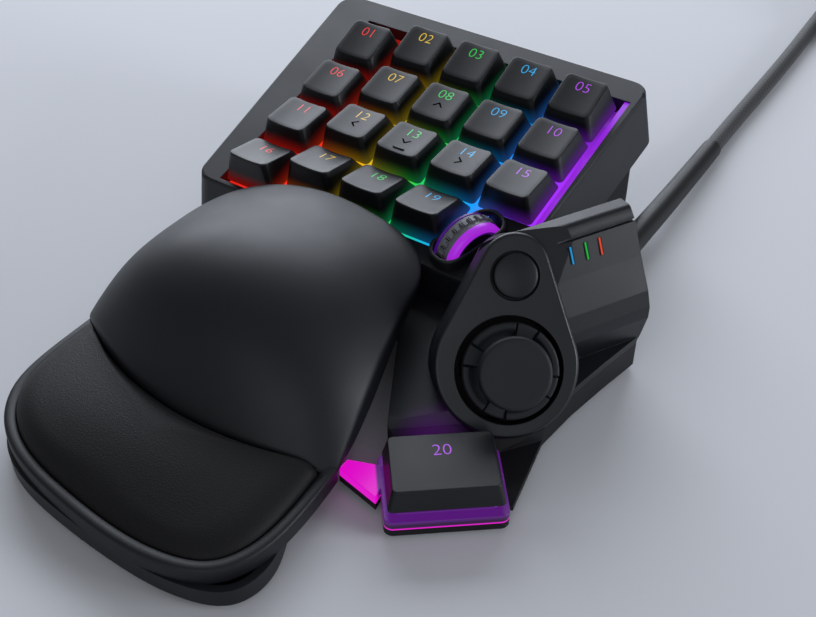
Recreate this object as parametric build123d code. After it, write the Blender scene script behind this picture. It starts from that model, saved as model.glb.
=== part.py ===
from build123d import *
import math
import os

# A left-hand gaming keypad: key block, thumb module, sliding palm rest and cable.
# Millimetres, +Z up, the user at -Y, the thumb at +X. Every piece is drawn from the middle of
# the key block, at table height, and is moved to the object's own frame when it is written.
field_x = -10.4
field_y = 51.95
place = Location((field_x, field_y, 0))

# Key block
key_pitch = 19.05
key_rows = 4
key_columns = 5
key_count = 19
plate_tilt = 12.0
plate_height = 44.0
little_finger_drop = 5.4
key_travel = 3.0
key_base = 18.2
key_top_width = 14.2
key_top_depth = 14.8
key_base_round = 1.4
key_top_round = 2.0
key_height = 8.0
key_wall = 1.4
dish_radius = 46.0
dish_depth = 0.45
row_lifts = (1.0, -0.6, -0.2, 0.0)
row_leans = (9.0, 1.0, -8.5, -22.0)
stem_side = 6.6
stem_bore = 4.8
guide_gap = 0.1
guide_wall = 1.3
snap_reach = 0.7
snap_height = 1.2
part_gap = 0.1
sink_gap = 0.6
deck_thick = 2.0
guide_rise = 2.6
guide_drop = 2.4
nub_radius = 1.9
sheet_thick = 0.8
board_thick = 1.6

# Case of the key block, on the tilted plate
rim_drop = 7.0
rim_back = 50.5
rim_front = 46.5
rim_left_back = 65.0
rim_left_front = 57.0
rim_right_back = 53.0
rim_right_front = 51.0
rim_round = 6.0
rim_bevel = 0.8
skirt_height = 17.5
skirt_flare = 3.0
skirt_flare_back = -2.4
case_wall = 2.2
well_left = 48.4
well_right = 50.2
well_back = 40.4
well_front = 39.0
well_front_left = 44.4
well_step = 27.8
well_wheel_x = 28.5
well_wheel_top_x = 35.6
well_wheel_y = 19.3
strip_width = 1.9
strip_front = 19.3
strip_proud = 0.3
floor_height = 1.6
floor_thick = 2.0
lower_wall = 2.4
boss_radius = 2.6
screw_radius = 1.25
screw_head_radius = 2.4
screw_head_height = 1.2
screw_sink = 0.1
screw_length = 11.0
boss_top = 9.0
boss_clear = 0.15
hex_flat = 1.3
hex_depth = 0.9
post_radius = 2.2
foot_thick = 1.6
foot_length = 22.0
foot_width = 8.0

# Scroll wheel, beside key 19
wheel_x = 34.8
wheel_y = -32.8
wheel_yaw = -20.0
wheel_radius = 10.8
wheel_sink = 6.3
wheel_room = 0.4
tyre_width = 4.9
tyre_wall = 2.2
tyre_grooves = 24
groove_depth = 0.45
groove_width = 0.7
lit_right = 2.5
lit_left = 0.9
lit_radius = 10.2
spindle_radius = 1.5
spindle_gap = 0.05
bezel_length = 24.8
bezel_width = 11.8
bezel_wall = 1.2
bezel_top = -3.6
bezel_round = 4.0
slot_round = 1.8
key_clearance = 0.35
yoke_arm = 1.4
yoke_gap = 0.25
yoke_arm_half = 2.4
yoke_rise = 2.6
yoke_length = 21.8
yoke_inner_length = 18.6
yoke_low = 19.0
yoke_top = 16.0
yoke_wing = 1.5
yoke_wing_thick = 1.2
window_length = 22.6

# Thumb module
fascia_x = 66.9
fascia_y = -62.6
fascia_z = 22.1
fascia_yaw = 39.0
fascia_lift = 38.0
fascia_low_radius = 19.4
fascia_low_x = -0.6
fascia_low_y = 1.2
fascia_high_radius = 9.3
fascia_high_x = 3.4
fascia_high_y = 27.0
fascia_thick = 2.0
fascia_bevel = 0.7
cup_depth = 13.0
stick_hole_radius = 14.4
button_hole_radius = 6.45
button_x = 3.1
button_y = 24.8
button_radius = 5.9
button_proud = 1.6
button_dome = 0.7
button_travel = 1.0
button_flange = 6.95
button_flange_thick = 1.0
button_stem_radius = 2.0
housing_yaw = 60.0
housing_end_x = 78.1
housing_end_y = -16.1
housing_length = 40.0
housing_low_z = 10.0
housing_wall = 2.2
section_round = 2.0
section_width = 12.0
section_rise = 37.0
section_shares = ((-1.50, 0.0), (-1.50, 0.55), (-1.15, 0.90), (-0.62, 1.07), (-0.25, 1.085),
                  (0.0, 1.0), (0.40, 0.76), (0.83, 0.53), (0.98, 0.40), (0.98, 0.30),
                  (0.80, 0.07), (0.73, 0.0))
lens_down = 3.9
lens_length = 4.7
lens_width = 1.1
lens_places = (21.2, 16.5, 12.0)
valley_high = 17.0
valley_low = 11.8
valley_near = -46.0
valley_far = -88.0

# Eight-way stick
pivot_drop = 7.0
disc_radius = 12.9
disc_thick = 2.4
disc_sink = 1.2
ridge_inner = 8.2
ridge_rise = 1.5
ridge_sweep = 62.0
ridge_turn = 20.0
stalk_radius = 3.4
cap_radius = 9.7
cap_thick = 3.4
cap_height = 10.5
cap_round = 0.9
cap_dish = 0.5
knuckle_radius = 3.0
pin_radius = 1.0
pin_gap = 0.05
ring_outer = 9.4
ring_inner = 6.8
ring_thick = 3.0
frame_thick = 1.8
frame_arm = 2.0
tube_wall = 1.0

# Thumb key
bar_x = 65.9
bar_y = -93.8
bar_yaw = 38.0
bar_length = 30.0
bar_depth = 21.6
bar_top = 15.2
bar_cap_height = 6.2
bar_round = 1.4
bar_wall = 1.6
base_grow = 1.0
ledge_top = 6.4
collar_top = 11.0
collar_gap = 0.3
web_low = 7.5
web_high = 9.0
bar_stem = 5.0
bar_lug = 0.7
bar_lug_height = 1.2
base_round = 2.4

# Palm rest
palm_width = 95.3
palm_length = 116.0
palm_mid_x = -3.4
palm_rear_y = -40.0
palm_shares = ((-0.469, 0.802), (-0.385, 0.888), (-0.259, 0.944), (-0.069, 0.981), (0.141, 1.0),
               (0.309, 0.990), (0.425, 0.948), (0.483, 0.871), (0.502, 0.741), (0.483, 0.552),
               (0.441, 0.362), (0.399, 0.198), (0.362, 0.086), (0.294, 0.028), (0.120, 0.0),
               (-0.112, 0.003), (-0.269, 0.041), (-0.385, 0.125), (-0.459, 0.250),
               (-0.491, 0.414), (-0.501, 0.620))
palm_wall = 2.4
palm_crown = 45.5
palm_edge = 21.0
crown_half = 47.0
arch_power = 2.2
dome_shares = ((-0.03, 0.795, 0.96), (0.09, 0.90, 1.0), (0.22, 0.975, 0.95), (0.36, 1.0, 0.88),
               (0.48, 0.925, 0.76), (0.57, 0.77, 0.66), (0.63, 0.60, 0.60), (0.6785, 0.44, 0.57))
front_bow_x = 4.0
front_bow_radius = 90.0
tray_top = 12.0
tray_floor = 9.0
tray_floor_thick = 2.0
tray_inset = 3.4
rim_high = 36.8
dome_half = 50.0
rim_line_shares = ((-0.10, 0.97), (0.10, 0.79), (0.20, 0.675), (0.30, 0.56), (0.40, 0.43),
                   (0.50, 0.32), (0.58, 0.27), (0.70, 0.26), (1.10, 0.26))
pad_gap = 0.15
pad_front_share = 0.9707
pad_shares = ((-0.65, 0.45, 0.33), (0.0, 0.44, 0.335), (0.45, 0.42, 0.32), (0.75, 0.37, 0.30), (1.0, 0.31, 0.275))
pad_round = 1.6
skirt_width = 91.0
skirt_length = 97.8
skirt_mid_x = -1.0
skirt_rear_y = -58.0
skirt_shares = ((-0.49, 0.78), (-0.37, 0.915), (-0.13, 0.98), (0.12, 1.0), (0.36, 0.985),
                (0.475, 0.93), (0.505, 0.84), (0.46, 0.70), (0.365, 0.50), (0.31, 0.27),
                (0.285, 0.09), (0.21, 0.0), (-0.08, -0.01), (-0.36, 0.0), (-0.435, 0.16),
                (-0.47, 0.32), (-0.49, 0.54))
skirt_wall = 2.2
base_floor = 2.2
skirt_top = 7.0
palm_post_radius = 3.2
palm_travel = 15.0
tongue_x = -6.0
tongue_width = 36.0
tongue_thick = 3.0
tongue_end = -99.0
tongue_gap = 0.1
rail_start = -62.0
rail_end = -112.0
rail_wall = 2.4
rail_lip = 2.2
rail_lip_thick = 2.0
palm_foot_radius = 6.0

# Cable
cable_diameter = 6.0
sleeve_near = 4.1
sleeve_far = 3.5
sleeve_points = ((64.2, -5.0, 8.9), (64.2, 20.0, 8.9), (63.6, 58.0, 5.9), (62.6, 94.0, 3.9))
flange_radius = 5.1
flange_thick = 2.0
port_width = 13.6
port_depth = 6.0
port_top = 15.4
port_x = 64.2
port_y = -5.0
cable_length = 1800.0
bend_share = 0.45
coil_nudge = 0.02
cable_rest = 3.05
cable_points = ((62.5, 138.0), (62.8, 176.0), (62.4, 236.0))
cable_straight = 18.0
coil_outer = 45.4
coil_step = 6.7
coil_turns = 3.25
coil_quarters = 28
gap_stations = 1400
tail_points = ((67.0, 277.0, 5.6), (81.0, 290.5, 3.8), (99.0, 295.0, 3.8))
tail_straight = 12.0
plug_grip_length = 30.0
plug_grip_width = 15.0
plug_grip_thick = 7.4
plug_shell_length = 12.0
plug_shell_width = 12.0
plug_shell_thick = 4.5
plug_wall = 0.4
plug_tongue = 1.8
plug_taper_length = 7.0

cut = 1.0
reach = 500.0

# Lower case, seen from above
lower_left_back = 64.4
lower_left_front = 56.6
lower_right_back = 52.4
lower_right_front = 50.4
lower_back = 48.5
lower_front = -40.9
board_back = 45.5
board_front = -46.4
board_side = 0.2
thumb_plan = ((20.0, -38.0), (20.0, -46.0), (30.0, -60.0), (45.0, -88.0), (58.0, -92.0), (79.0, -64.0),
              (80.5, -50.0), (83.0, -36.0), (86.0, -21.5), (71.0, -12.0), (71.0, -5.0), (40.0, -5.0))
bar_plan = ((45.0, -86.0), (52.0, -70.0), (79.0, -64.0), (83.5, -88.0), (72.0, -96.0), (52.0, -98.0))
valley_plan = ((20.0, -38.0), (20.0, -46.0), (30.0, -60.0), (45.0, -88.0), (58.0, -84.0), (64.0, -50.0),
               (52.0, -34.0))
sliver_plan = ((40.5, -100.2), (40.5, -104.0), (54.0, -107.0), (52.0, -96.0))
case_posts = ((-56.0, 43.3), (44.0, 43.3), (-51.2, -35.2), (12.0, -35.7))
thumb_posts = ((73.0, -28.0), (41.0, -66.0))
palm_posts = ((-33.0, -79.0), (19.3, -79.0), (-36.0, -102.0), (24.0, -103.0))
case_feet = ((-36.0, 42.0), (26.0, 42.0), (-34.0, -35.0), (64.0, -46.0), (66.0, -92.0))
palm_feet_places = ((-33.0, -126.0), (30.0, -128.0), (-28.0, -68.0), (14.0, -68.0))
deck_posts = ((-54.0, 20.0), (-53.0, -15.0), (0.0, 19.05), (-28.5, 0.0), (28.5, 0.0), (-10.0, -19.05))


# Shared shapes
def at(points):
    """Points of an outline as a flat face."""
    return Polygon(*points, align=None)


def prism(face, low, high):
    return extrude(Pos(0, 0, low) * face, high - low, dir=(0, 0, 1))


def box_between(x_low, x_high, y_low, y_high, low, high):
    return prism(at(((x_low, y_low), (x_high, y_low), (x_high, y_high), (x_low, y_high))), low, high)


def rod(x, y, radius, low, high):
    return prism(Pos(x, y) * Circle(radius), low, high)


def above(location):
    """Everything above a tilted level, as one large block."""
    return location * Box(reach, reach, reach, align=(Align.CENTER, Align.CENTER, Align.MIN))


def below(location):
    return location * Box(reach, reach, reach, align=(Align.CENTER, Align.CENTER, Align.MAX))


def single(shape):
    """The largest solid of a shape."""
    return max(shape.solids(), key=lambda solid: solid.volume)


def inset(points, distance):
    """Outline points moved inwards along the outline's own normals."""
    moved = []
    for i, point in enumerate(points):
        before = points[i - 1]
        after = points[(i + 1) % len(points)]
        along = Vector(after[0] - before[0], after[1] - before[1]).normalized()
        moved.append((point[0] - along.Y * distance, point[1] + along.X * distance))
    return moved


def smooth(points):
    """A face inside one closed curve through the points."""
    return make_face(Spline(*points, periodic=True))


plate = Location((0, 0, plate_height), (plate_tilt, 0, 0))


# Keycaps
def key_place(column, row):
    drop = little_finger_drop if column == 0 else 0
    x = (column - (key_columns - 1) / 2) * key_pitch
    y = ((key_rows - 1) / 2 - row) * key_pitch - drop
    return x, y


deck_top = -(key_height + key_travel + sink_gap)
deck_low = deck_top - deck_thick
guide_top = deck_top + guide_rise
guide_low = deck_low - guide_drop
stem_low = guide_low - snap_height - snap_reach / 2
sheet_top = stem_low - key_travel - snap_reach
sheet_low = sheet_top - sheet_thick
board_low = sheet_low - board_thick
nub_top = stem_low - key_travel + snap_reach * 4
guide_side = stem_side + 2 * guide_gap
guide_outer = guide_side + 2 * guide_wall
ceiling = 1.4


def key_body(row, shrink, drop):
    """The tapered, leaning block of a keycap, drawn in by shrink and lowered by drop."""
    foot = Pos(0, 0, -key_height - (cut if shrink > 0 else 0)) * RectangleRounded(
        key_base - 2 * shrink, key_base - 2 * shrink, key_base_round)
    lean = Location((0, 0, row_lifts[row] - drop), (row_leans[row], 0, 0))
    crown = lean * RectangleRounded(key_top_width - 2 * shrink, key_top_depth - 2 * shrink,
                                    key_top_round - shrink / 2)
    return loft([foot, crown], ruled=True)


def keycap(row):
    lean = Location((0, 0, row_lifts[row]), (row_leans[row], 0, 0))
    body = key_body(row, 0, 0)
    over = lean * Location((0, 0, dish_radius - dish_depth), (90, 0, 0))
    dish = over * Cylinder(dish_radius, key_base * 2)
    body = body - dish
    stem = Pos(0, 0, stem_low) * Box(stem_side, stem_side, -stem_low + key_height,
                                     align=(Align.CENTER, Align.CENTER, Align.MIN))
    lower = Pos(0, 0, stem_low) * Box(stem_side, stem_side, -stem_low - key_height,
                                      align=(Align.CENTER, Align.CENTER, Align.MIN))
    cap = body - key_body(row, key_wall, ceiling)
    cap = cap + (stem & body) + lower
    lug = Pos(0, 0, guide_low - snap_height) * Box(
        stem_side + 2 * snap_reach, stem_bore, snap_height, align=(Align.CENTER, Align.CENTER, Align.MIN))
    bore_top = nub_top + key_travel + snap_reach / 4
    bore = Pos(0, 0, bore_top) * Box(stem_bore, stem_bore, reach,
                                     align=(Align.CENTER, Align.CENTER, Align.MAX))
    return single(cap + lug - bore)


# Case
def quad(grow, back=None):
    """The case's four-sided outline, grown on its sides and front and, by its own amount, at the back."""
    back = grow if back is None else back
    points = ((-rim_left_back - grow, rim_back + back), (-rim_left_front - grow, -rim_front - grow),
              (rim_right_front + grow, -rim_front - grow), (rim_right_back + grow, rim_back + back))
    face = at(points)
    return fillet(face.vertices(), rim_round)


def skirted(grow, top):
    """The flared block inside the case's outline, from its lower edge up to a given level."""
    low = -rim_drop - skirt_height
    foot = Pos(0, 0, low) * quad(skirt_flare + grow, skirt_flare_back + grow)
    crown = Pos(0, 0, top) * quad(grow)
    return loft([foot, crown], ruled=True)


well_points = ((-well_left, well_back), (-well_left, -well_front_left), (-well_step, -well_front_left),
               (-well_step, -well_front), (well_wheel_x, -well_front), (well_wheel_top_x, -well_wheel_y),
               (well_right, -well_wheel_y), (well_right, well_back))
wheel_frame = Location((wheel_x, wheel_y, 0), (0, 0, wheel_yaw))
axle_drop = bezel_top - wheel_sink


def lower_outline(grow):
    face = at(((-lower_left_back - grow, lower_back + grow), (-lower_left_front - grow, lower_front - grow),
               (lower_right_front + grow, lower_front - grow), (lower_right_back + grow, lower_back + grow)))
    return fillet(face.vertices(), rim_round + grow)


# Fascia frame: x across the fascia, y up along it, z out of it
fascia = Plane(origin=(fascia_x, fascia_y, fascia_z),
               x_dir=(math.cos(math.radians(fascia_yaw)), math.sin(math.radians(fascia_yaw)), 0),
               z_dir=(math.sin(math.radians(fascia_yaw)) * math.cos(math.radians(fascia_lift)),
                      -math.cos(math.radians(fascia_yaw)) * math.cos(math.radians(fascia_lift)),
                      math.sin(math.radians(fascia_lift)))).location


def teardrop(shrink):
    low = Pos(fascia_low_x, fascia_low_y) * Circle(fascia_low_radius - shrink)
    high = Pos(fascia_high_x, fascia_high_y) * Circle(fascia_high_radius - shrink)
    return make_hull(low.edges() + high.edges())


behind_fascia = below(fascia * Location((0, 0, -fascia_thick)))


# Pieces of the key block
def make_top_shell():
    outer = skirted(0, -rim_drop - rim_bevel) + loft(
        [Pos(0, 0, -rim_drop - rim_bevel) * quad(0), Pos(0, 0, -rim_drop) * quad(-rim_bevel)], ruled=True)
    low = -rim_drop - skirt_height
    ceiling_level = -rim_drop - case_wall
    inner = skirted(-case_wall, ceiling_level) + Pos(0, 0, low) * extrude(
        quad(skirt_flare - case_wall, skirt_flare_back - case_wall), -cut)
    shell = outer - inner
    well = at(well_points)
    wall = prism(offset(well, case_wall), deck_top, -rim_drop - rim_bevel) & outer
    shell = plate * (shell + wall)
    for x, y in case_posts:
        post = rod(x, y, boss_radius, boss_top, reach / 4) & (plate * outer)
        post = post + (rod(x, y, boss_radius, boss_top, plate_height) & below(plate * Pos(0, 0, ceiling_level)))
        shell = shell + post
    shell = shell - plate * prism(well, deck_top, reach / 4)
    slot = RectangleRounded(bezel_width - 2 * bezel_wall, bezel_length - 2 * bezel_wall, slot_round)
    yoke_hole = Rectangle(yoke_width + 2 * guide_gap, 2 * yoke_arm_half + 2 * guide_gap)
    shell = shell - plate * wheel_frame * prism(slot + yoke_hole, deck_top - cut, cut)
    shell = shell - plate * wheel_frame * prism(
        Rectangle(tyre_total + 2 * wheel_room, 2 * wheel_radius + 2 * wheel_room), sheet_low, -rim_drop - cut)
    for x, y in case_posts:
        shell = shell - rod(x, y, screw_radius, boss_top - cut, floor_height + screw_length + cut)
    return single(shell)


def make_deck():
    deck = prism(quad(-case_wall - rim_bevel, -case_wall - 2 * rim_bevel), deck_low, deck_top)
    for name, x, y, row in keys:
        deck = deck + Pos(x, y) * prism(Rectangle(guide_outer, guide_outer), guide_low, guide_top)
    for x, y in deck_posts:
        deck = deck + rod(x, y, post_radius, sheet_low, deck_low)
    for name, x, y, row in keys:
        deck = deck - Pos(x, y) * prism(Rectangle(guide_side, guide_side), guide_low - cut, guide_top + cut)
    deck = deck - wheel_frame * prism(Rectangle(yoke_width + 2 * guide_gap, window_length), deck_low - cut, cut)
    deck = plate * deck
    for x, y in case_posts:
        deck = deck - rod(x, y, boss_radius + case_wall / 4, 0, reach / 4)
    return single(deck)


def board_outline():
    face = at(((-lower_left_back + board_side, board_back), (-lower_left_front + board_side, board_front),
               (lower_right_front - board_side, board_front), (lower_right_back - board_side, board_back)))
    return fillet(face.vertices(), rim_round)


def layer(low, high, holes):
    """A flat layer under the deck, with the wheel's opening and holes for the screw posts."""
    sheet = prism(board_outline(), low, high)
    opening = Rectangle(tyre_total + 2 * cut, wheel_radius + 2 * cut)
    sheet = sheet - wheel_frame * prism(opening, low - cut, high + cut)
    sheet = plate * sheet
    for x, y in case_posts:
        sheet = sheet - rod(x, y, boss_radius + case_wall / 4, 0, reach / 4)
    for x, y in holes:
        sheet = sheet - plate * rod(x, y, post_radius + part_gap, low - cut, high + cut)
    return sheet


def make_sheet():
    sheet = layer(sheet_low, sheet_top, deck_posts)
    for name, x, y, row in keys:
        sheet = sheet + plate * rod(x, y, nub_radius, sheet_low, nub_top)
    return single(sheet)


def make_lower_case():
    body = prism(lower_outline(0), floor_height, plate_height * 2) & below(plate * Pos(0, 0, board_low))
    thumb = (prism(at(thumb_plan), floor_height, housing_low_z) & behind_fascia) - plate * skirted(
        boss_clear, -rim_drop)
    port = box_between(port_x - port_width / 2, port_x + port_width / 2, port_y - port_depth, port_y,
                       floor_height, port_top)
    floor_top = floor_height + floor_thick
    rest = prism(at(bar_plan), floor_height, floor_top)
    rest = rest + prism(at(sliver_plan), floor_height, floor_top)
    rest = rest + bar_frame * prism(bar_outline(base_grow, base_round), floor_height, floor_top)
    shell = body + thumb + port + rest
    shell = shell - prism(lower_outline(-lower_wall), floor_top, reach / 4)
    hollow = prism(offset(at(thumb_plan), -lower_wall, kind=Kind.INTERSECTION), floor_top, housing_low_z + cut)
    hollow = hollow & below(fascia * Location((0, 0, -fascia_thick - lower_wall)))
    shell = shell - (hollow - port)
    shell = shell - (cup_block(-boss_clear, cup_depth + boss_clear) & above(Location((0, 0, floor_top))))
    shell = shell - bar_frame * prism(bar_outline(base_grow + boss_clear, base_round), floor_top, reach / 4)
    for x, y in case_posts + thumb_posts:
        shell = shell + rod(x, y, boss_radius + case_wall / 4, floor_height, boss_top)
    tongue_low = floor_height + base_floor + tongue_gap
    shell = shell + box_between(tongue_x - tongue_width / 2, tongue_x + tongue_width / 2, tongue_end,
                                lower_front + lower_wall, tongue_low, tongue_low + tongue_thick)
    head = floor_height + screw_sink + screw_head_height
    for x, y in case_posts + thumb_posts:
        shell = shell - rod(x, y, screw_head_radius + part_gap, 0, head)
        shell = shell - rod(x, y, screw_radius + part_gap, 0, boss_top + cut)
    shell = shell - cable_bore
    return single(shell)


def make_screws(places):
    screws = []
    for x, y in places:
        low = floor_height + screw_sink
        screw = rod(x, y, screw_head_radius, low, low + screw_head_height)
        screw = screw + rod(x, y, screw_radius, low, floor_height + screw_length)
        socket = Pos(x, y, low) * extrude(RegularPolygon(hex_flat, 6), hex_depth)
        screws.append(single(screw - socket))
    return Compound(screws)


def make_strip():
    strip = prism(at(((well_right - strip_width, -strip_front), (well_right, -strip_front),
                      (well_right, well_back), (well_right - strip_width, well_back))),
                  deck_top, -rim_drop + strip_proud - rim_bevel)
    return plate * strip


# Scroll wheel
tyre_total = tyre_width + lit_right + lit_left
yoke_width = tyre_total + 2 * yoke_gap + 2 * yoke_arm
axle = plate * wheel_frame * Location((0, 0, axle_drop), (0, 90, 0))
half_total = tyre_total / 2


def disc(radius, start, end):
    """A disc round the wheel's axle between two stations along it."""
    return Pos(0, 0, start) * extrude(Circle(radius), end - start)


def make_wheel():
    left = -half_total
    right = half_total
    tyre_left = left + lit_left
    tyre_right = tyre_left + tyre_width
    seat = wheel_radius - tyre_wall
    tyre = disc(wheel_radius, tyre_left, tyre_right) - disc(seat, tyre_left - cut, tyre_right + cut)
    groove = Pos(wheel_radius, 0, (tyre_left + tyre_right) / 2) * Box(2 * groove_depth, groove_width,
                                                                      tyre_width + cut)
    tyre = tyre - [Rot(0, 0, 360 * i / tyre_grooves) * groove for i in range(tyre_grooves)]
    hub = disc(lit_radius, left, tyre_left) + disc(seat, tyre_left, tyre_right) + disc(lit_radius, tyre_right, right)
    hub = hub - disc(spindle_radius + spindle_gap, left - cut, right + cut)
    pin = disc(spindle_radius, -yoke_width / 2, yoke_width / 2)
    return axle * single(tyre), axle * single(hub), axle * pin


def make_yoke():
    low = -yoke_low
    frame = prism(Rectangle(yoke_width, yoke_length) - Rectangle(yoke_width - 2 * yoke_arm, yoke_inner_length),
                  low, -yoke_top)
    frame = frame + prism(Rectangle(yoke_width + 2 * yoke_wing, 2 * yoke_arm_half) -
                          Rectangle(yoke_width - 2 * yoke_arm, 2 * yoke_arm_half + cut),
                          deck_low - yoke_wing_thick, deck_low)
    arms = prism(Rectangle(yoke_width, 2 * yoke_arm_half) -
                 Rectangle(yoke_width - 2 * yoke_arm, 2 * yoke_arm_half + cut), low, axle_drop + yoke_rise)
    yoke = plate * wheel_frame * (frame + arms)
    return single(yoke - axle * disc(spindle_radius, -yoke_width, yoke_width))


def make_bezel():
    ring = RectangleRounded(bezel_width, bezel_length, bezel_round) - RectangleRounded(
        bezel_width - 2 * bezel_wall, bezel_length - 2 * bezel_wall, slot_round)
    body = prism(ring, -rim_drop, bezel_top)
    name, x, y, row = keys[-1]
    keep = Pos(x, y) * prism(Rectangle(key_base + 2 * key_clearance, key_base + 2 * key_clearance),
                             -key_height - key_travel - cut, -key_height)
    swell = Pos(x, y) * loft([
        Pos(0, 0, -key_height) * Rectangle(key_base + 2 * key_clearance, key_base + 2 * key_clearance),
        Rectangle(key_top_width + 2 * key_clearance, key_top_depth + 2 * key_clearance)], ruled=True)
    body = wheel_frame * body - keep - swell
    return single(plate * body)


# Thumb housing
out_x = math.sin(math.radians(housing_yaw))
out_y = -math.cos(math.radians(housing_yaw))
barrel = Plane(origin=(housing_end_x, housing_end_y, housing_low_z), x_dir=(out_x, out_y, 0),
               z_dir=(out_y, -out_x, 0))


def section(shrink):
    """The thumb housing's section: x outwards, y up, drawn in on every side by shrink."""
    points = [(x * section_width, y * section_rise) for x, y in section_shares]
    face = fillet(at(points).vertices().sort_by(Axis.Y)[2:], section_round)
    return offset(face, -shrink) if shrink > 0 else face


def barrel_solid(shrink, start):
    face = barrel.location * section(shrink)
    return extrude(face, housing_length - start, dir=(out_y, -out_x, 0)).moved(
        Location((out_y * start, -out_x * start, 0)))


def cup_block(shrink, depth):
    return fascia * prism(teardrop(shrink), -fascia_thick - depth, -fascia_thick)


def valley_block(drop):
    slope = math.degrees(math.atan2(valley_high - valley_low, valley_near - valley_far))
    level = Location((0, valley_near, valley_high - drop), (slope, 0, 0))
    outline = at(valley_plan) if drop == 0 else offset(at(valley_plan), -drop, kind=Kind.INTERSECTION)
    return prism(outline, housing_low_z - (cut if drop > 0 else 0), valley_high * 2) & below(level)


def case_keepout():
    keep = plate * skirted(boss_clear, -rim_drop)
    under_rim = below(plate * Pos(0, 0, -rim_drop - cut))
    keep = keep + (prism(lower_outline(boss_clear), 0, plate_height * 2) & under_rim)
    return keep


lamp_slope = math.degrees(math.atan2(section_shares[5][1] * section_rise - section_shares[7][1] * section_rise,
                                     section_shares[7][0] * section_width - section_shares[5][0] * section_width))


def lamp(along, proud, deep):
    """A small upright light in the housing's sloping outer side."""
    slope = math.radians(lamp_slope)
    sideways = section_shares[5][0] * section_width + math.cos(slope) * lens_down
    height = section_shares[5][1] * section_rise - math.sin(slope) * lens_down
    spot = barrel.from_local_coords((sideways, height, along))
    facing = Vector(out_x * math.sin(slope), out_y * math.sin(slope), math.cos(slope))
    face = Plane(origin=spot, x_dir=(out_y, -out_x, 0), z_dir=facing)
    return extrude(face * Rectangle(lens_width, lens_length), proud) + extrude(
        face * Rectangle(lens_width, lens_length), -deep)


def make_housing():
    floor_top = floor_height + floor_thick
    cup = cup_block(0, cup_depth)
    cup = cup & above(Location((0, 0, floor_top + boss_clear)))
    cover = prism(at(thumb_plan), housing_low_z, housing_low_z + housing_wall) & behind_fascia
    outer = (barrel_solid(0, 0) & behind_fascia) + cup + (valley_block(0) & behind_fascia) + cover
    hollow = barrel_solid(housing_wall, housing_wall) + valley_block(housing_wall)
    base_strip = prism(offset(at(thumb_plan), -lower_wall - cut, kind=Kind.INTERSECTION) &
                       make_face(barrel_foot()), housing_low_z - cut, housing_low_z + 2 * housing_wall)
    hollow = (hollow + base_strip) & below(fascia * Location((0, 0, -fascia_thick - housing_wall)))
    hollow = hollow + fascia * prism(teardrop(housing_wall), -fascia_thick - reach / 4, -fascia_thick + cut)
    shell = outer - hollow
    shell = shell + (cup - fascia * prism(teardrop(housing_wall), -fascia_thick - cup_depth - cut,
                                          -fascia_thick + cut))
    for x, y in thumb_posts:
        shell = shell + (rod(x, y, boss_radius, housing_low_z - cut, reach / 4) & outer) + rod(
            x, y, boss_radius, boss_top, housing_low_z + cut)
    shell = shell - case_keepout() - port_block(boss_clear)
    for along in lens_places:
        shell = shell - lamp(along, cut, housing_wall + cut)
    for x, y in thumb_posts:
        shell = shell - rod(x, y, screw_radius, boss_top - cut, floor_height + screw_length + cut)
    return single(shell)


def barrel_foot():
    x_low = section_shares[0][0] * section_width + housing_wall
    x_high = section_shares[-1][0] * section_width - housing_wall
    corners = [barrel.from_local_coords((x, 0, z)) for x, z in (
        (x_low, housing_wall), (x_high, housing_wall), (x_high, housing_length), (x_low, housing_length))]
    return Polyline(*[(c.X, c.Y) for c in corners], close=True)


def port_block(grow):
    return box_between(port_x - port_width / 2 - grow, port_x + port_width / 2 + grow,
                       port_y - port_depth - grow, port_y + cut, floor_height, port_top + grow)


def make_fascia():
    face = prism(teardrop(0), -fascia_thick, -fascia_bevel) + loft(
        [Pos(0, 0, -fascia_bevel) * teardrop(0), teardrop(fascia_bevel)], ruled=True)
    face = face - prism(Circle(stick_hole_radius), -fascia_thick - cut, cut)
    face = face - prism(Pos(button_x, button_y) * Circle(button_hole_radius), -fascia_thick - cut, cut)
    return fascia * single(face)


flange_low = -fascia_thick - button_flange_thick
frame_low = -pivot_drop - ring_thick - 2 * frame_thick
frame_high = frame_low + frame_thick


def make_frame():
    back = prism(teardrop(housing_wall + boss_clear), frame_low, frame_high)
    back = back - rod(0, 0, ring_inner, frame_low - cut, frame_high + cut)
    tube_radius = stick_hole_radius + 2 * part_gap
    tube = rod(0, 0, tube_radius + tube_wall, frame_low, -fascia_thick) - rod(
        0, 0, tube_radius, frame_high, cut)
    tube = tube - rod(0, 0, ring_inner, frame_low - cut, frame_high + cut)
    arm_in = ring_outer + cut / 2
    arms = prism(at(((arm_in, -frame_arm), (arm_in + frame_arm, -frame_arm),
                     (arm_in + frame_arm, frame_arm),
                     (arm_in, frame_arm))), frame_high, -pivot_drop + frame_arm)
    arms = arms + mirror(arms, about=Plane.YZ)
    guide = rod(button_x, button_y, button_stem_radius + guide_wall, frame_low, flange_low - button_travel - cut)
    frame = back + tube + arms + guide
    frame = frame - rod(button_x, button_y, button_stem_radius + pin_gap, frame_low - cut, 0)
    hole = Location((0, 0, -pivot_drop), (0, 90, 0)) * disc(pin_radius + pin_gap, -reach / 4, reach / 4)
    frame = frame - (hole & prism(Circle(arm_in + frame_arm + part_gap), frame_high, 0))
    frame = fascia * frame
    return single(frame & above(Location((0, 0, floor_height + floor_thick + 3 * boss_clear))))


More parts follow.
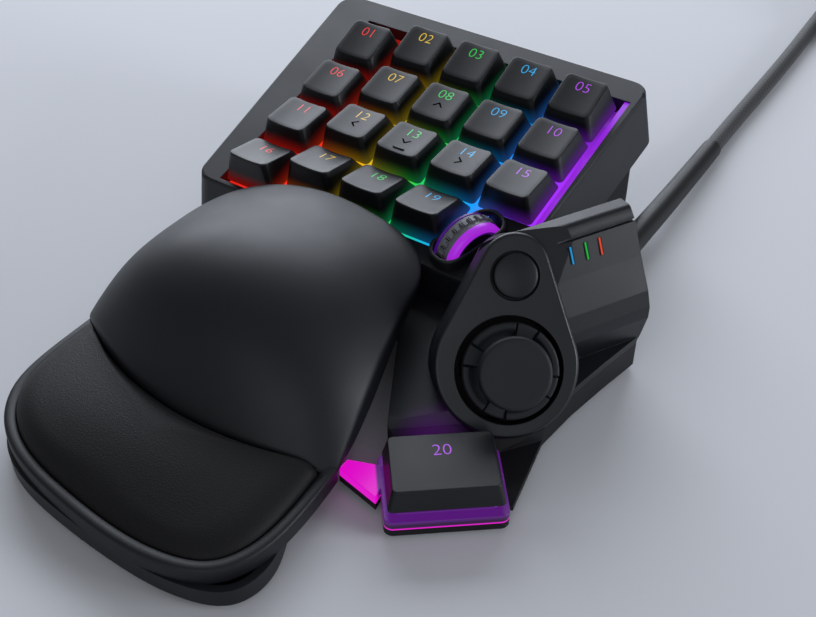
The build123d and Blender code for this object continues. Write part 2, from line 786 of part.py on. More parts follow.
def make_button():
    crown_radius = (button_radius ** 2 + button_dome ** 2) / (2 * button_dome)
    top = button_proud
    cap = rod(0, 0, button_radius, flange_low, top)
    ball = Pos(0, 0, top - crown_radius) * Sphere(crown_radius)
    cap = (cap & ball) + rod(0, 0, button_flange, flange_low, -fascia_thick)
    cap = cap + rod(0, 0, button_stem_radius, frame_low, flange_low)
    return single(fascia * Pos(button_x, button_y) * cap)


def make_stick():
    pivot = -pivot_drop
    plate_low = -disc_sink
    plate_top = plate_low + disc_thick
    pad = rod(0, 0, disc_radius, plate_low, plate_top)
    pad = pad.fillet(disc_thick / 4, pad.edges().group_by(Axis.Z)[-1])
    far = disc_radius * 2
    sector = Polyline((0, 0), turned_point(far, -ridge_sweep / 2), turned_point(far, ridge_sweep / 2),
                      close=True)
    ridge = (Circle(disc_radius - disc_thick / 4) - Circle(ridge_inner)) & make_face(sector)
    ridge = prism(ridge, plate_top - cut, plate_top + ridge_rise)
    for i in range(4):
        pad = pad + Rot(0, 0, ridge_turn + 90 * i) * ridge
    stalk = rod(0, 0, stalk_radius, pivot - knuckle_radius, cap_height - cap_thick / 2)
    pin = Location((0, 0, pivot), (90, 0, 0)) * disc(pin_radius, -ring_outer, ring_outer)
    stick = single(pad + stalk + pin)
    cap = rod(0, 0, cap_radius, cap_height - cap_thick, cap_height)
    cap = cap.fillet(cap_round, cap.edges().group_by(Axis.Z)[-1])
    hollow_radius = (cap_radius ** 2 + cap_dish ** 2) / (2 * cap_dish)
    cap = cap - Pos(0, 0, cap_height - cap_dish + hollow_radius) * Sphere(hollow_radius)
    cap = cap - rod(0, 0, stalk_radius, cap_height - cap_thick - cut, cap_height - cap_thick / 2)
    return fascia * stick, fascia * single(cap)


def turned_point(radius, degrees):
    return radius * math.cos(math.radians(degrees)), radius * math.sin(math.radians(degrees))


def make_gimbal():
    pivot = -pivot_drop
    ring = rod(0, 0, ring_outer, pivot - ring_thick / 2, pivot + ring_thick / 2)
    ring = ring - rod(0, 0, ring_inner, pivot - ring_thick, pivot + ring_thick)
    pins = Location((0, 0, pivot), (0, 90, 0)) * disc(pin_radius, -ring_outer - frame_arm, ring_outer + frame_arm)
    pins = pins - rod(0, 0, ring_inner, pivot - ring_thick, pivot + ring_thick)
    bores = Location((0, 0, pivot), (90, 0, 0)) * disc(pin_radius + pin_gap, -reach / 4, reach / 4)
    return fascia * single(ring + pins - bores)


# Thumb key
bar_frame = Location((bar_x, bar_y, 0), (0, 0, bar_yaw))


def bar_outline(grow, radius):
    return RectangleRounded(bar_length + 2 * grow, bar_depth + 2 * grow, radius)


def make_bar_base():
    floor_top = floor_height + floor_thick
    base = prism(bar_outline(base_grow, base_round), floor_top, ledge_top)
    grip = -bar_wall - collar_gap
    collar = prism(bar_outline(grip, bar_round), ledge_top - cut, collar_top)
    base = base + collar
    inner = grip - bar_wall
    base = base - prism(bar_outline(inner, bar_round), floor_top - cut, web_low)
    base = base - prism(bar_outline(inner, bar_round), web_high, collar_top + cut)
    side = bar_stem + 2 * guide_gap
    base = base - prism(Rectangle(side, side), web_low - cut, web_high + cut)
    base = bar_frame * base
    sliver = prism(at(sliver_plan), floor_top, ledge_top)
    sliver = sliver - bar_frame * prism(bar_outline(0, base_round), floor_top - cut, ledge_top + cut)
    return single(base + sliver)


def make_bar():
    low = bar_top - bar_cap_height
    cap = loft([Pos(0, 0, low) * bar_outline(0, bar_round),
                Pos(0, 0, bar_top) * bar_outline(-bar_round, bar_round)],
               ruled=True)
    cap = cap - prism(bar_outline(-bar_wall, bar_round), low - cut, bar_top - bar_wall)
    stem = prism(Rectangle(bar_stem, bar_stem), web_low - bar_lug_height, bar_top - bar_wall / 2)
    lug = prism(Rectangle(bar_stem + 2 * bar_lug, bar_stem), web_low - bar_lug_height, web_low)
    return bar_frame * single(cap + stem + lug)


# Palm rest
dome_front = palm_rear_y - dome_shares[-1][0] * palm_length
pad_front = palm_rear_y - pad_front_share * palm_length
palm_points = [(palm_mid_x + x * palm_width, palm_rear_y - y * palm_length) for x, y in palm_shares]
skirt_points = [(skirt_mid_x + x * skirt_width, skirt_rear_y - y * skirt_length) for x, y in skirt_shares]
crown_x = -4.0


def arch(y, crown, edge, half):
    """An upright section across the palm rest: a low arch over a flat foot."""
    over = edge if half == crown_half else crown - (crown - edge) * (half / crown_half) ** arch_power
    top = ThreePointArc((crown_x - half, y, over), (crown_x, y, crown), (crown_x + half, y, over))
    sides = Polyline((crown_x + half, y, over), (crown_x + half, y, -dome_half),
                     (crown_x - half, y, -dome_half), (crown_x - half, y, over))
    return make_face(top + sides)


def dome(drop):
    faces = [arch(palm_rear_y - share * palm_length, crown * palm_crown - drop, edge * palm_edge - drop,
                  dome_half)
             for share, crown, edge in dome_shares]
    return loft(faces)


def behind_pad(grow):
    """The space behind the bowed front edge of the dome."""
    return rod(front_bow_x, dome_front + front_bow_radius, front_bow_radius + grow, -cut, reach / 4)


def make_palm_shell():
    floor_low = tray_floor - tray_floor_thick
    outline = smooth(palm_points)
    inner = smooth(inset(palm_points, palm_wall))
    shell = dome(0) & prism(outline, 0, palm_crown * 2) & behind_pad(0)
    hollow = dome(palm_wall) & prism(inner, -cut, palm_crown * 2)
    hollow = hollow & behind_pad(-palm_wall)
    line = [(palm_rear_y - y * palm_length, z * rim_high) for y, z in rim_line_shares]
    line = [(line[0][0], -reach / 4)] + line + [(line[-1][0], -reach / 4)]
    under = Plane(origin=(-reach / 4, 0, 0), x_dir=(0, 1, 0), z_dir=(1, 0, 0)) * at(line)
    shell = shell - hollow - extrude(under, reach / 2)
    tray = prism(outline, floor_low, tray_top) - behind_pad(-palm_wall)
    bed = prism(smooth(inset(palm_points, tray_inset)), tray_floor, reach / 4) - behind_pad(0)
    shell = shell + (tray - bed)
    solid = dome(palm_wall / 2) & prism(inner, -cut, palm_crown * 2)
    floor_top = floor_height + base_floor
    for x, y in palm_posts:
        shell = shell + (rod(x, y, palm_post_radius, floor_top, reach / 4) & solid)
        shell = shell - rod(x, y, screw_radius, floor_top - cut, floor_height + screw_length + cut)
    return single(shell)


def make_palm_base():
    floor_top = floor_height + base_floor
    outline = smooth(skirt_points)
    base = prism(outline, floor_height, skirt_top) - prism(
        smooth(inset(skirt_points, skirt_wall)), floor_top, skirt_top + cut)
    tongue_low = floor_top + tongue_gap
    tongue_top = tongue_low + tongue_thick
    half = tongue_width / 2 + tongue_gap
    gate = box_between(tongue_x - half, tongue_x + half, rail_end, lower_front, floor_top, skirt_top + cut)
    gate_end = rail_start - palm_travel
    base = base - (gate & box_between(-reach / 2, reach / 2, gate_end, reach / 2, 0, reach / 4))
    for side in (-1, 1):
        inside = tongue_x + side * half
        outside = inside + side * rail_wall
        tip = inside - side * rail_lip
        lip_low = tongue_top + tongue_gap
        base = base + box_between(min(inside, outside), max(inside, outside), rail_end, rail_start,
                                  floor_height, lip_low + rail_lip_thick)
        base = base + box_between(min(tip, outside), max(tip, outside), rail_end, rail_start,
                                  lip_low, lip_low + rail_lip_thick)
    head = floor_height + screw_sink + screw_head_height
    for x, y in palm_posts:
        base = base - rod(x, y, screw_head_radius + part_gap, 0, head)
        base = base - rod(x, y, screw_radius + part_gap, 0, floor_top + cut)
    return single(base)


def make_pad():
    rear = dome_front - pad_gap
    faces = [arch(rear + share * (pad_front - rear), crown * palm_crown, edge * palm_crown, crown_half)
             for share, crown, edge in pad_shares]
    ahead = pad_shares[-1]
    faces.append(arch(pad_front - palm_foot_radius, ahead[1] * palm_crown - pad_round,
                      ahead[2] * palm_crown - pad_round, crown_half))
    block = prism(smooth(inset(palm_points, tray_inset + pad_gap)), tray_floor, palm_crown) - behind_pad(pad_gap)
    return single(loft(faces, ruled=True) & block)


# Cable
def lead(points, radii, start_radius, end_radius=None):
    path = FilletPolyline(*points, radius=radii)
    ring = Plane(origin=path @ 0, z_dir=path % 0) * Circle(start_radius)
    if end_radius is None:
        return sweep(ring, path=path), path
    far = Plane(origin=path @ 1, z_dir=path % 1) * Circle(end_radius)
    return sweep([ring, far], path=path, multisection=True), path


def bend_radii(points):
    """A radius for every corner of a route, as large as its two runs allow."""
    radii = []
    for before, corner, after in zip(points, points[1:], points[2:]):
        first = Vector(*corner) - Vector(*before)
        second = Vector(*after) - Vector(*corner)
        half_turn = math.radians(first.get_angle(second)) / 2
        radii.append(bend_share * min(first.length, second.length) / math.tan(half_turn))
    return radii


def coil_point(angle):
    """Where the wound cable's centre is after turning through an angle, seen from the coil's middle."""
    inward = coil_turns * 2 * math.pi
    slope = coil_step / (2 * math.pi)
    inner = coil_outer - slope * inward
    if angle <= inward:
        radius, height = coil_outer - slope * angle, 0
    elif angle <= inward + math.pi:
        share = (angle - inward) / math.pi
        radius = inner - slope * math.pi * share * (1 - share)
        height = coil_step * share * share * (3 - 2 * share)
    else:
        radius, height = inner + slope * (angle - inward - math.pi), coil_step
    turn = math.pi - angle
    return Vector(coil_x + radius * math.cos(turn), coil_y + radius * math.sin(turn), cable_rest + height)


def coil_heading(angle):
    step = coil_nudge
    if angle < step:
        return (coil_point(2 * step) - coil_point(0)).normalized()
    return (coil_point(angle + step) - coil_point(angle - step)).normalized()


def biarc(start, start_heading, end, end_heading):
    across = end - start
    both = start_heading + end_heading
    spread = 2 * (1 - start_heading.dot(end_heading))
    pull = across.dot(both)
    arm = (-pull + math.sqrt(pull * pull + spread * across.dot(across))) / spread
    middle = (start + start_heading * arm + end - end_heading * arm) / 2
    first = Edge.make_tangent_arc(start, start_heading, middle)
    return [first, Edge.make_tangent_arc(middle, first % 1, end)]


# Every key's name, place and row
keys = []
for row in range(key_rows):
    for column in range(key_columns):
        if len(keys) < key_count:
            x, y = key_place(column, row)
            keys.append(("keycap_%02d" % (len(keys) + 1), x, y, row))

coil_x = cable_points[-1][0] + coil_outer
coil_y = cable_points[-1][1] + cable_diameter
coil_total = (2 * coil_turns + 0.5) * 2 * math.pi
coil_start = coil_point(0)
sleeve_axis = Location((port_x, port_y, sleeve_points[0][2]), (90, 0, 0))
bore_depth = port_depth - flange_thick
bore_end = port_depth + cut
cable_bore = sleeve_axis * (disc(sleeve_near, -cut, bore_end) + disc(flange_radius, bore_depth, bore_end))


def make_cable():
    pieces = {}
    sleeve, path = lead(sleeve_points, bend_radii(sleeve_points), sleeve_near, sleeve_far)
    print("sleeve radii", [round(r) for r in bend_radii(sleeve_points)], "length", round(path.length))
    inner = sleeve_axis * (disc(sleeve_near, 0, port_depth) + disc(flange_radius, bore_depth, port_depth))
    pieces["cable_sleeve"] = single(sleeve + inner)
    total = path.length
    joint = coil_start - coil_heading(0) * cable_diameter
    route = [tuple(path @ 1), tuple(path @ 1 + path % 1 * cable_straight)]
    route = route + [(x, y, cable_rest) for x, y in cable_points[:-1]]
    route = route + [tuple(joint - coil_heading(0) * cable_straight), tuple(joint)]
    radii = bend_radii(route)
    tube, path = lead(route, radii, cable_diameter / 2)
    area = math.pi * cable_diameter ** 2 / 4
    print("cable radii", [round(r) for r in radii], "length", round(path.length, 1),
          "volume share", round(tube.volume / (area * path.length), 4))
    pieces["cable"] = single(tube)
    total = total + path.length
    edges = [Edge.make_line(path @ 1, coil_start)]
    for i in range(coil_quarters):
        start = coil_total * i / coil_quarters
        end = coil_total * (i + 1) / coil_quarters
        edges = edges + biarc(edges[-1] @ 1, edges[-1] % 1, coil_point(end), coil_heading(end))
    edges.append(Edge.make_line(edges[-1] @ 1, (edges[-1] @ 1) + (edges[-1] % 1) * cable_diameter))
    wire = Wire(edges)
    coil = sweep(Plane(origin=wire @ 0, z_dir=wire % 0) * Circle(cable_diameter / 2), path=wire)
    print("coil length", round(wire.length, 1), "volume share", round(coil.volume / (area * wire.length), 4))
    pieces["cable_coil"] = single(coil)
    total = total + wire.length
    stations = [wire @ (i / gap_stations) for i in range(gap_stations + 1)]
    step = wire.length / gap_stations
    skip = int(4 * cable_diameter / step)
    gap = min((a - b).length for i, a in enumerate(stations) for b in stations[i + skip::2]) - cable_diameter
    print("coil least gap to itself", round(gap, 2))
    route = [tuple(wire @ 1), tuple(wire @ 1 + wire % 1 * tail_straight)] + list(tail_points)
    radii = bend_radii(route)
    tube, path = lead(route, radii, cable_diameter / 2)
    print("tail radii", [round(r) for r in radii], "length", round(path.length, 1),
          "volume share", round(tube.volume / (area * path.length), 4))
    pieces["cable_tail"] = single(tube)
    total = total + path.length
    print("whole cable", round(total), "of", cable_length)
    end = Plane(origin=path @ 1, x_dir=(path % 1).cross(Vector(0, 0, 1)), z_dir=path % 1)
    grip = loft([end * Circle(sleeve_far), end.offset(plug_taper_length) * RectangleRounded(
        plug_grip_width, plug_grip_thick, plug_taper_length / 4)])
    grip = grip + extrude(end.offset(plug_taper_length) * RectangleRounded(
        plug_grip_width, plug_grip_thick, plug_taper_length / 4), plug_grip_length - plug_taper_length)
    pieces["usb_plug_body"] = single(grip)
    face = end.offset(plug_grip_length)
    shell = Rectangle(plug_shell_width, plug_shell_thick) - Rectangle(
        plug_shell_width - 2 * plug_wall, plug_shell_thick - 2 * plug_wall)
    tongue = Pos(0, (plug_shell_thick - plug_tongue) / 2 - plug_wall) * Rectangle(
        plug_shell_width - 2 * plug_wall, plug_tongue)
    pieces["usb_plug_shell"] = single(extrude(face * shell, plug_shell_length) + extrude(
        face * tongue, plug_shell_length - plug_wall))
    return pieces


def make_all():
    pieces = {}
    for name, x, y, row in keys:
        pieces[name] = plate * Pos(x, y, 0) * keycap(row)
    pieces["top_shell"] = make_top_shell()
    pieces["key_deck"] = make_deck()
    pieces["dome_sheet"] = make_sheet()
    pieces["key_circuit_board"] = single(layer(board_low, sheet_low, ()))
    pieces["bottom_shell"] = make_lower_case()
    pieces["case_screws"] = make_screws(case_posts + thumb_posts)
    pieces["light_band"] = make_strip()
    pieces["rubber_feet"] = Compound([
        box_between(x - foot_length / 2, x + foot_length / 2, y - foot_width / 2, y + foot_width / 2, 0,
                    foot_thick).solid() for x, y in case_feet])
    tyre, hub, pin = make_wheel()
    pieces["wheel_tyre"] = tyre
    pieces["wheel_hub"] = hub
    pieces["wheel_axle"] = pin
    pieces["wheel_carriage"] = make_yoke()
    pieces["wheel_bezel"] = make_bezel()
    pieces["thumb_housing"] = make_housing()
    pieces["thumb_fascia"] = make_fascia()
    pieces["thumb_frame"] = make_frame()
    pieces["thumb_button"] = make_button()
    stick, cap = make_stick()
    pieces["direction_pad"] = stick
    pieces["thumb_stick_cap"] = cap
    pieces["gimbal_ring"] = make_gimbal()
    for colour, along in zip(("blue", "green", "red"), lens_places):
        pieces["indicator_" + colour] = lamp(along, part_gap, housing_wall)
    pieces["thumb_key_base"] = make_bar_base()
    pieces["thumb_key"] = make_bar()
    pieces["palm_rest_shell"] = make_palm_shell()
    pieces["palm_rest_base"] = make_palm_base()
    pieces["palm_screws"] = make_screws(palm_posts)
    pieces["palm_pad"] = make_pad()
    pieces["palm_feet"] = Compound([rod(x, y, palm_foot_radius, 0, foot_thick).solid()
                                    for x, y in palm_feet_places])
    pieces.update(make_cable())
    return pieces


os.makedirs("parts", exist_ok=True)
for name, shape in make_all().items():
    shape = place * shape
    export_step(shape, "parts/" + name + ".step")
    box = shape.bounding_box()
    print(name, len(shape.solids()), round(shape.volume, 1), shape.is_valid,
          [round(v, 1) for v in (box.min.X, box.min.Y, box.min.Z, box.max.X, box.max.Y, box.max.Z)])
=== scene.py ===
import math

import bmesh
import bpy
import numpy
from mathutils import Matrix, Vector


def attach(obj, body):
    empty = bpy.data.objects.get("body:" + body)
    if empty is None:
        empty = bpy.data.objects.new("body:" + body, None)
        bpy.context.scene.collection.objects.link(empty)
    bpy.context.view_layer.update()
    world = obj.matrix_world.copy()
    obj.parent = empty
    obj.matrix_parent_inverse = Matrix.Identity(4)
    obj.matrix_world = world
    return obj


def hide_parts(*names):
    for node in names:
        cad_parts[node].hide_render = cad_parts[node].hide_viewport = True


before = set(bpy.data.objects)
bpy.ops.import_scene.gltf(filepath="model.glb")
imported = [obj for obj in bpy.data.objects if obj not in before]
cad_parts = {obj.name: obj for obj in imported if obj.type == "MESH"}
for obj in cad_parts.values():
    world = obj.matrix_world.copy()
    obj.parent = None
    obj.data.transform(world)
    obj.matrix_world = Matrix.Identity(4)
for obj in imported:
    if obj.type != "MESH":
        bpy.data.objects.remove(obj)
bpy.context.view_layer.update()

# Sizes and places are in millimetres from the middle of the key block, as in the part. Each mesh is then
# moved to the row frame in metres, so that every finished object sits at the origin.
MM = 0.001
FIELD = Vector((-10.4, 51.95, 0.0))
TO_ROW = Matrix.Diagonal((MM, MM, MM, 1.0)) @ Matrix.Translation(FIELD)
UPRIGHT = Matrix.Identity(4)
# The plate that carries the keys stands this high at the middle of the block and leans towards the hand
PLATE_HEIGHT, PLATE_TILT = 44.0, math.radians(12.0)
PLATE = Matrix.Translation((0, 0, PLATE_HEIGHT)) @ Matrix.Rotation(PLATE_TILT, 4, "X")

scene = bpy.context.scene


def linear(code):
    """An sRGB hex colour as the linear values that the shaders take."""
    channels = []
    for i in (0, 2, 4):
        c = int(code[i:i + 2], 16) / 255
        channels.append(c / 12.92 if c <= 0.04045 else ((c + 0.055) / 1.055) ** 2.4)
    return (*channels, 1.0)


def feed(tree, node, inputs):
    """Sets inputs of a node, each to a value or to the output that feeds it."""
    for name, value in inputs.items():
        if isinstance(value, bpy.types.NodeSocket):
            tree.links.new(value, node.inputs[name])
        else:
            node.inputs[name].default_value = value


def add_node(tree, kind, inputs, **settings):
    """Adds a node with its settings, values and links."""
    node = tree.nodes.new(kind)
    for name, value in settings.items():
        setattr(node, name, value)
    feed(tree, node, inputs)
    return node


def new_material(name, inputs):
    """A material, its node tree and its shader, whose inputs are set."""
    material = bpy.data.materials.new(name)
    material.use_nodes = True
    shader = material.node_tree.nodes["Principled BSDF"]
    feed(material.node_tree, shader, inputs)
    return material, material.node_tree, shader


# The relief of a surface: the height of a grain, and how far its edges are softened to the eye
GRAIN_HEIGHT, EDGE_SOFTNESS, GRAIN_DETAIL = 0.05, 0.3, 2.0
# The roughness of a moulded face drifts by this much, over patches of this width
DRIFT, DRIFT_PATCH, DRIFT_DETAIL = 0.08, 50.0 / 3.0, 3.0


def emboss(tree, shader, pattern, strength, height):
    """Raises a pattern on a surface as a fine relief, and rounds the edges a little to the eye."""
    soft = add_node(tree, "ShaderNodeBevel", {"Radius": EDGE_SOFTNESS * MM}, samples=4)
    bump = add_node(tree, "ShaderNodeBump", {
        "Strength": strength, "Distance": height * MM, "Height": pattern, "Normal": soft.outputs["Normal"]})
    feed(tree, shader, {"Normal": bump.outputs["Normal"]})


def plastic(name, colour, rough, size=0.35, depth=0.35, shine=0.4):
    """Moulded plastic or rubber. The grain of its mould spreads the highlights. It is so many mm wide, which
    is coarser than the real one of about 0.1 mm, too fine to show. The roughness drifts over the face, so
    that a wide one isn't dead even."""
    material, tree, shader = new_material(name, {"Base Color": linear(colour), "Specular IOR Level": shine})
    spot = add_node(tree, "ShaderNodeTexCoord", {}).outputs["Object"]
    grain = add_node(tree, "ShaderNodeTexNoise", {
        "Vector": spot, "Scale": 1.0 / (size * MM), "Detail": GRAIN_DETAIL})
    emboss(tree, shader, grain.outputs["Fac"], depth, GRAIN_HEIGHT)
    patches = add_node(tree, "ShaderNodeTexNoise", {
        "Vector": spot, "Scale": 1.0 / (DRIFT_PATCH * MM), "Detail": DRIFT_DETAIL})
    drift = add_node(tree, "ShaderNodeMapRange", {
        "Value": patches.outputs["Fac"], "To Min": rough - DRIFT, "To Max": rough + DRIFT})
    feed(tree, shader, {"Roughness": drift.outputs["Result"]})
    return material


def lit_plastic(name, colour, strength, base):
    """Clear plastic lit from behind: its own dark colour, and over it the even light that comes through."""
    return new_material(name, {
        "Base Color": linear(base), "Roughness": 0.35,
        "Emission Color": linear(colour), "Emission Strength": strength})[0]


def metal(name, colour, rough):
    """Plain turned or drawn metal, whose roughness blurs what it mirrors."""
    return new_material(name, {"Base Color": linear(colour), "Metallic": 1.0, "Roughness": rough})[0]


# The case, the caps and the fascia are ABS or PBT from eroded moulds: black, with a faint blue cast where
# light rakes over them. The fascia is smoother than the case, so that its rim catches a line of light.
CASE_ABS = ("12151A", 0.48)
CAP_PBT = dict(colour="0F1114", rough=0.42, size=0.3, depth=0.25)
CASE = plastic("matt_black_abs", *CASE_ABS)
CAP = plastic("keycap_pbt_black", **CAP_PBT)
INNER = plastic("inner_abs_black", "0C0D10", 0.6)
FASCIA = plastic("fascia_satin_black", "12161B", 0.36, size=0.3, depth=0.2, shine=0.5)
BUTTON = plastic("button_satin_black", "12151A", 0.42, size=0.3, depth=0.15)
PLUG = plastic("plug_pvc_black", "111215", 0.5)
# Rubbers are duller, with a coarser grain. The tyre is a mid grey, so that its ribs stand out.
STICK = plastic("stick_rubber_black", "15181D", 0.55, size=0.5, depth=0.3)
SLEEVE = plastic("sleeve_rubber_black", "0F1012", 0.5, size=0.5, depth=0.3)
FOOT = plastic("foot_rubber_black", "141415", 0.85, size=0.6, depth=0.5)
TYRE = plastic("tyre_rubber_grey", "7C7E84", 0.45, size=0.4, depth=0.4)
SILICONE = plastic("dome_silicone_milky", "B9BABD", 0.6)
# Solder mask is a thin clear lacquer, almost smooth. Screws are dull steel and the plug's shell is brighter.
BOARD = plastic("board_solder_mask_green", "1E4A2C", 0.35, size=1.5, depth=0.1)
STEEL = metal("screw_steel", "A9ABAF", 0.35)
SHELL_STEEL = metal("plug_steel_bright", "C3C5C8", 0.25)
# Light guides glow evenly. The wheel's inner faces get less of the lamp's light than its rim.
VIOLET = lit_plastic("violet_light_strip", "A018F0", 0.75, "2A1048")
PINK = lit_plastic("wheel_rim_lit_violet", "B428E8", 0.75, "3A1468")
VIOLET_DIM = lit_plastic("wheel_rim_dim_violet", "7020C0", 0.25, "2A1048")
# Each number is cut through the paint of its cap and takes the light of its column. The arrows are printed
# in a black that doesn't shine.
LEGENDS = [lit_plastic("legend_lit_red", "F02C28", 0.85, "50100C"),
           lit_plastic("legend_lit_yellow", "E8C028", 0.8, "50400C"),
           lit_plastic("legend_lit_green", "20D048", 0.8, "0A4014"),
           lit_plastic("legend_lit_cyan", "1CA8E8", 0.85, "08384C"),
           lit_plastic("legend_lit_violet", "B048E8", 0.85, "38144C")]
DARK_MARK = plastic("legend_printed_black", "020203", 0.95, shine=0.0)


def fading(tree, point, direction, reach, levels, shape="SMOOTHSTEP", both_ways=False):
    """A value that goes from one level to another between two distances, in mm, from a point of the row
    frame along a direction. Both ways, it is the same on either side of the point."""
    spot = add_node(tree, "ShaderNodeTexCoord", {})
    shift = add_node(tree, "ShaderNodeVectorMath", {
        0: spot.outputs["Object"], 1: point}, operation="SUBTRACT")
    away = add_node(tree, "ShaderNodeVectorMath", {0: shift.outputs["Vector"], 1: direction},
                    operation="DOT_PRODUCT")
    if both_ways:
        away = add_node(tree, "ShaderNodeMath", {0: away.outputs["Value"]}, operation="ABSOLUTE")
    span = add_node(tree, "ShaderNodeMapRange", {
        "Value": away.outputs["Value"], "From Min": reach[0] * MM, "From Max": reach[1] * MM,
        "To Min": levels[0], "To Max": levels[1]}, interpolation_type=shape)
    return span.outputs["Result"]


def blended(tree, factor, stops):
    """Colours that blend from stop to stop. The first stop is at 0 and the last at 1."""
    ramp = add_node(tree, "ShaderNodeValToRGB", {"Fac": factor})
    ramp.color_ramp.elements[0].color = linear(stops[0][1])
    ramp.color_ramp.elements[1].color = linear(stops[-1][1])
    for place, code in stops[1:-1]:
        ramp.color_ramp.elements.new(place).color = linear(code)
    return ramp.outputs["Color"]


ACROSS, BACK, UP = (1.0, 0.0, 0.0), (0.0, 1.0, 0.0), (0.0, 0.0, 1.0)
# The lamps under the keys run through the rainbow over this half width to either side of the middle
RAINBOW_HALF = 50.0
RAINBOW = ((0.0, "FF2418"), (0.2, "FF2A1C"), (0.36, "E8B018"), (0.55, "28D048"), (0.66, "18B8A8"),
           (0.76, "1898FF"), (0.9, "8A38FF"), (1.0, "B028F0"))


def rainbow(tree):
    """The colour of the light at a place: red at the keys' left, green in the middle, violet at right."""
    across = fading(tree, FIELD * MM, ACROSS, (-RAINBOW_HALF, RAINBOW_HALF), (0.0, 1.0), "LINEAR")
    return blended(tree, across, RAINBOW)


# The deck's painted glow fades towards the rear and, faster, at the front wall: from and to these places
DECK_REAR, DECK_REAR_LEVELS = (40.0, 5.0), (0.3, 1.1)
DECK_FRONT, DECK_FRONT_LEVELS = (-43.0, -34.0), (0.15, 1.0)


def deck_painted_glow():
    """The deck under the keys: black ABS with the lamps' light painted on it as a glow, in bands of colour.
    """
    material, tree, shader = new_material("key_deck_rainbow_lit", {
        "Base Color": linear("101114"), "Roughness": 0.5})
    rear = fading(tree, FIELD * MM, BACK, DECK_REAR, DECK_REAR_LEVELS, "LINEAR")
    front = fading(tree, FIELD * MM, BACK, DECK_FRONT, DECK_FRONT_LEVELS, "LINEAR")
    both = add_node(tree, "ShaderNodeMath", {0: rear, 1: front}, operation="MULTIPLY")
    feed(tree, shader, {"Emission Color": rainbow(tree), "Emission Strength": both.outputs["Value"]})
    return material


KEY_HEIGHT = 8.0
# The painted glow on the keycaps' sides: its strength at the foot, and the span in mm over which it fades
SIDE_PAINTED_GLOW, SIDE_REACH = 0.17, (-1.5, 5.5)


def cap_side_painted_glow():
    """Keycap plastic with the deck's coloured light painted on its sides as a glow, less and less towards
    the top.
    """
    material = plastic("keycap_pbt_black_side_lit", **CAP_PBT)
    tree = material.node_tree
    foot = TO_ROW @ PLATE @ Vector((0.0, 0.0, -KEY_HEIGHT))
    rise = fading(tree, foot, PLATE.to_3x3() @ Vector(UP), SIDE_REACH, (SIDE_PAINTED_GLOW, 0.0))
    feed(tree, tree.nodes["Principled BSDF"], {"Emission Color": rainbow(tree), "Emission Strength": rise})
    return material


THUMB_KEY_PLACE, THUMB_KEY_YAW, THUMB_KEY_TOP = (65.9, -93.8, 0.0), math.radians(38.0), 15.2
# The lit line in the thumb key's base lies between these heights, and its wing starts this far to its left
BASE_LINE, BASE_WING = (3.6, 6.4), (16.4, 17.2)
BASE_LIGHT = ((0.0, "F010D8"), (0.18, "F010D8"), (0.27, "3A0C48"), (0.5, "1C0826"), (0.82, "4A1466"),
              (1.0, "561878"))


def base_acrylic():
    """The thumb key's base in clear smoked acrylic: a bright magenta line round its foot, dark above it,
    violet again under the key, and a wing at its left that glows all over."""
    material, tree, shader = new_material("thumb_key_base_lit_magenta", {
        "Base Color": linear("140A1C"), "Roughness": 0.3, "Emission Strength": 0.9})
    place = TO_ROW @ Vector(THUMB_KEY_PLACE)
    leftwards = (-math.cos(THUMB_KEY_YAW), -math.sin(THUMB_KEY_YAW), 0.0)
    rise = fading(tree, place, UP, BASE_LINE, (0.0, 1.0), "LINEAR")
    wing = fading(tree, place, leftwards, BASE_WING, (0.0, 1.0))
    mix = add_node(tree, "ShaderNodeMix", {"A": blended(tree, rise, BASE_LIGHT), "B": linear("E808D0"),
                                           "Factor": wing}, data_type="RGBA")
    feed(tree, shader, {"Emission Color": mix.outputs["Result"]})
    return material


# A pool of violet light painted on the case behind the thumb key: its middle, the distances in mm over which
# it fades, and its strength
SPILL_PLACE, SPILL_REACH, PAINTED_SPILL_LEVEL = (56.5, -84.0, 9.0), (1.0, 12.0), 0.11


def with_painted_thumb_key_spill(material):
    """Paints onto a plastic a pool of the violet light that falls behind the thumb key, as a glow that fades
    with distance.
    """
    tree = material.node_tree
    spot = add_node(tree, "ShaderNodeTexCoord", {})
    away = add_node(tree, "ShaderNodeVectorMath", {
        0: spot.outputs["Object"], 1: TO_ROW @ Vector(SPILL_PLACE)}, operation="DISTANCE")
    fall = add_node(tree, "ShaderNodeMapRange", {
        "Value": away.outputs["Value"], "From Min": SPILL_REACH[0] * MM, "From Max": SPILL_REACH[1] * MM,
        "To Min": PAINTED_SPILL_LEVEL, "To Max": 0.0}, interpolation_type="SMOOTHSTEP")
    feed(tree, tree.nodes["Principled BSDF"], {
        "Emission Color": linear("9018C0"), "Emission Strength": fall.outputs["Result"]})
    return material


def middle_of(node):
    """The middle of a node's points in the row frame."""
    spots = [v.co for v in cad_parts[node].data.vertices]
    return sum(spots, Vector()) / len(spots)


# The housing's slope faces outwards at this yaw, and its lamps stand in a row across it
HOUSING_YAW = math.radians(60.0)
SLOPE_OUT = Vector((math.sin(HOUSING_YAW), -math.cos(HOUSING_YAW), 0.0))
LAMP_ROW = (-math.cos(HOUSING_YAW), -math.sin(HOUSING_YAW), 0.0)
LAMP_LINE, LAMP_LEVELS = (0.1, 0.4), (0.85, 0.02)


def lamp_acrylic(name, colour, base, node):
    """A smoked acrylic lens, almost black, with one thin lit line down its middle."""
    material, tree, shader = new_material(name, {
        "Base Color": linear(base), "Roughness": 0.45, "Specular IOR Level": 0.1,
        "Emission Color": linear(colour)})
    line = fading(tree, middle_of(node), LAMP_ROW, LAMP_LINE, LAMP_LEVELS, both_ways=True)
    feed(tree, shader, {"Emission Strength": line})
    return material


# The width of one pebble of the leather, and how far its creases sink
PEBBLE, PEBBLE_RELIEF, CREASE_DEPTH = 0.85, 0.55, 0.14


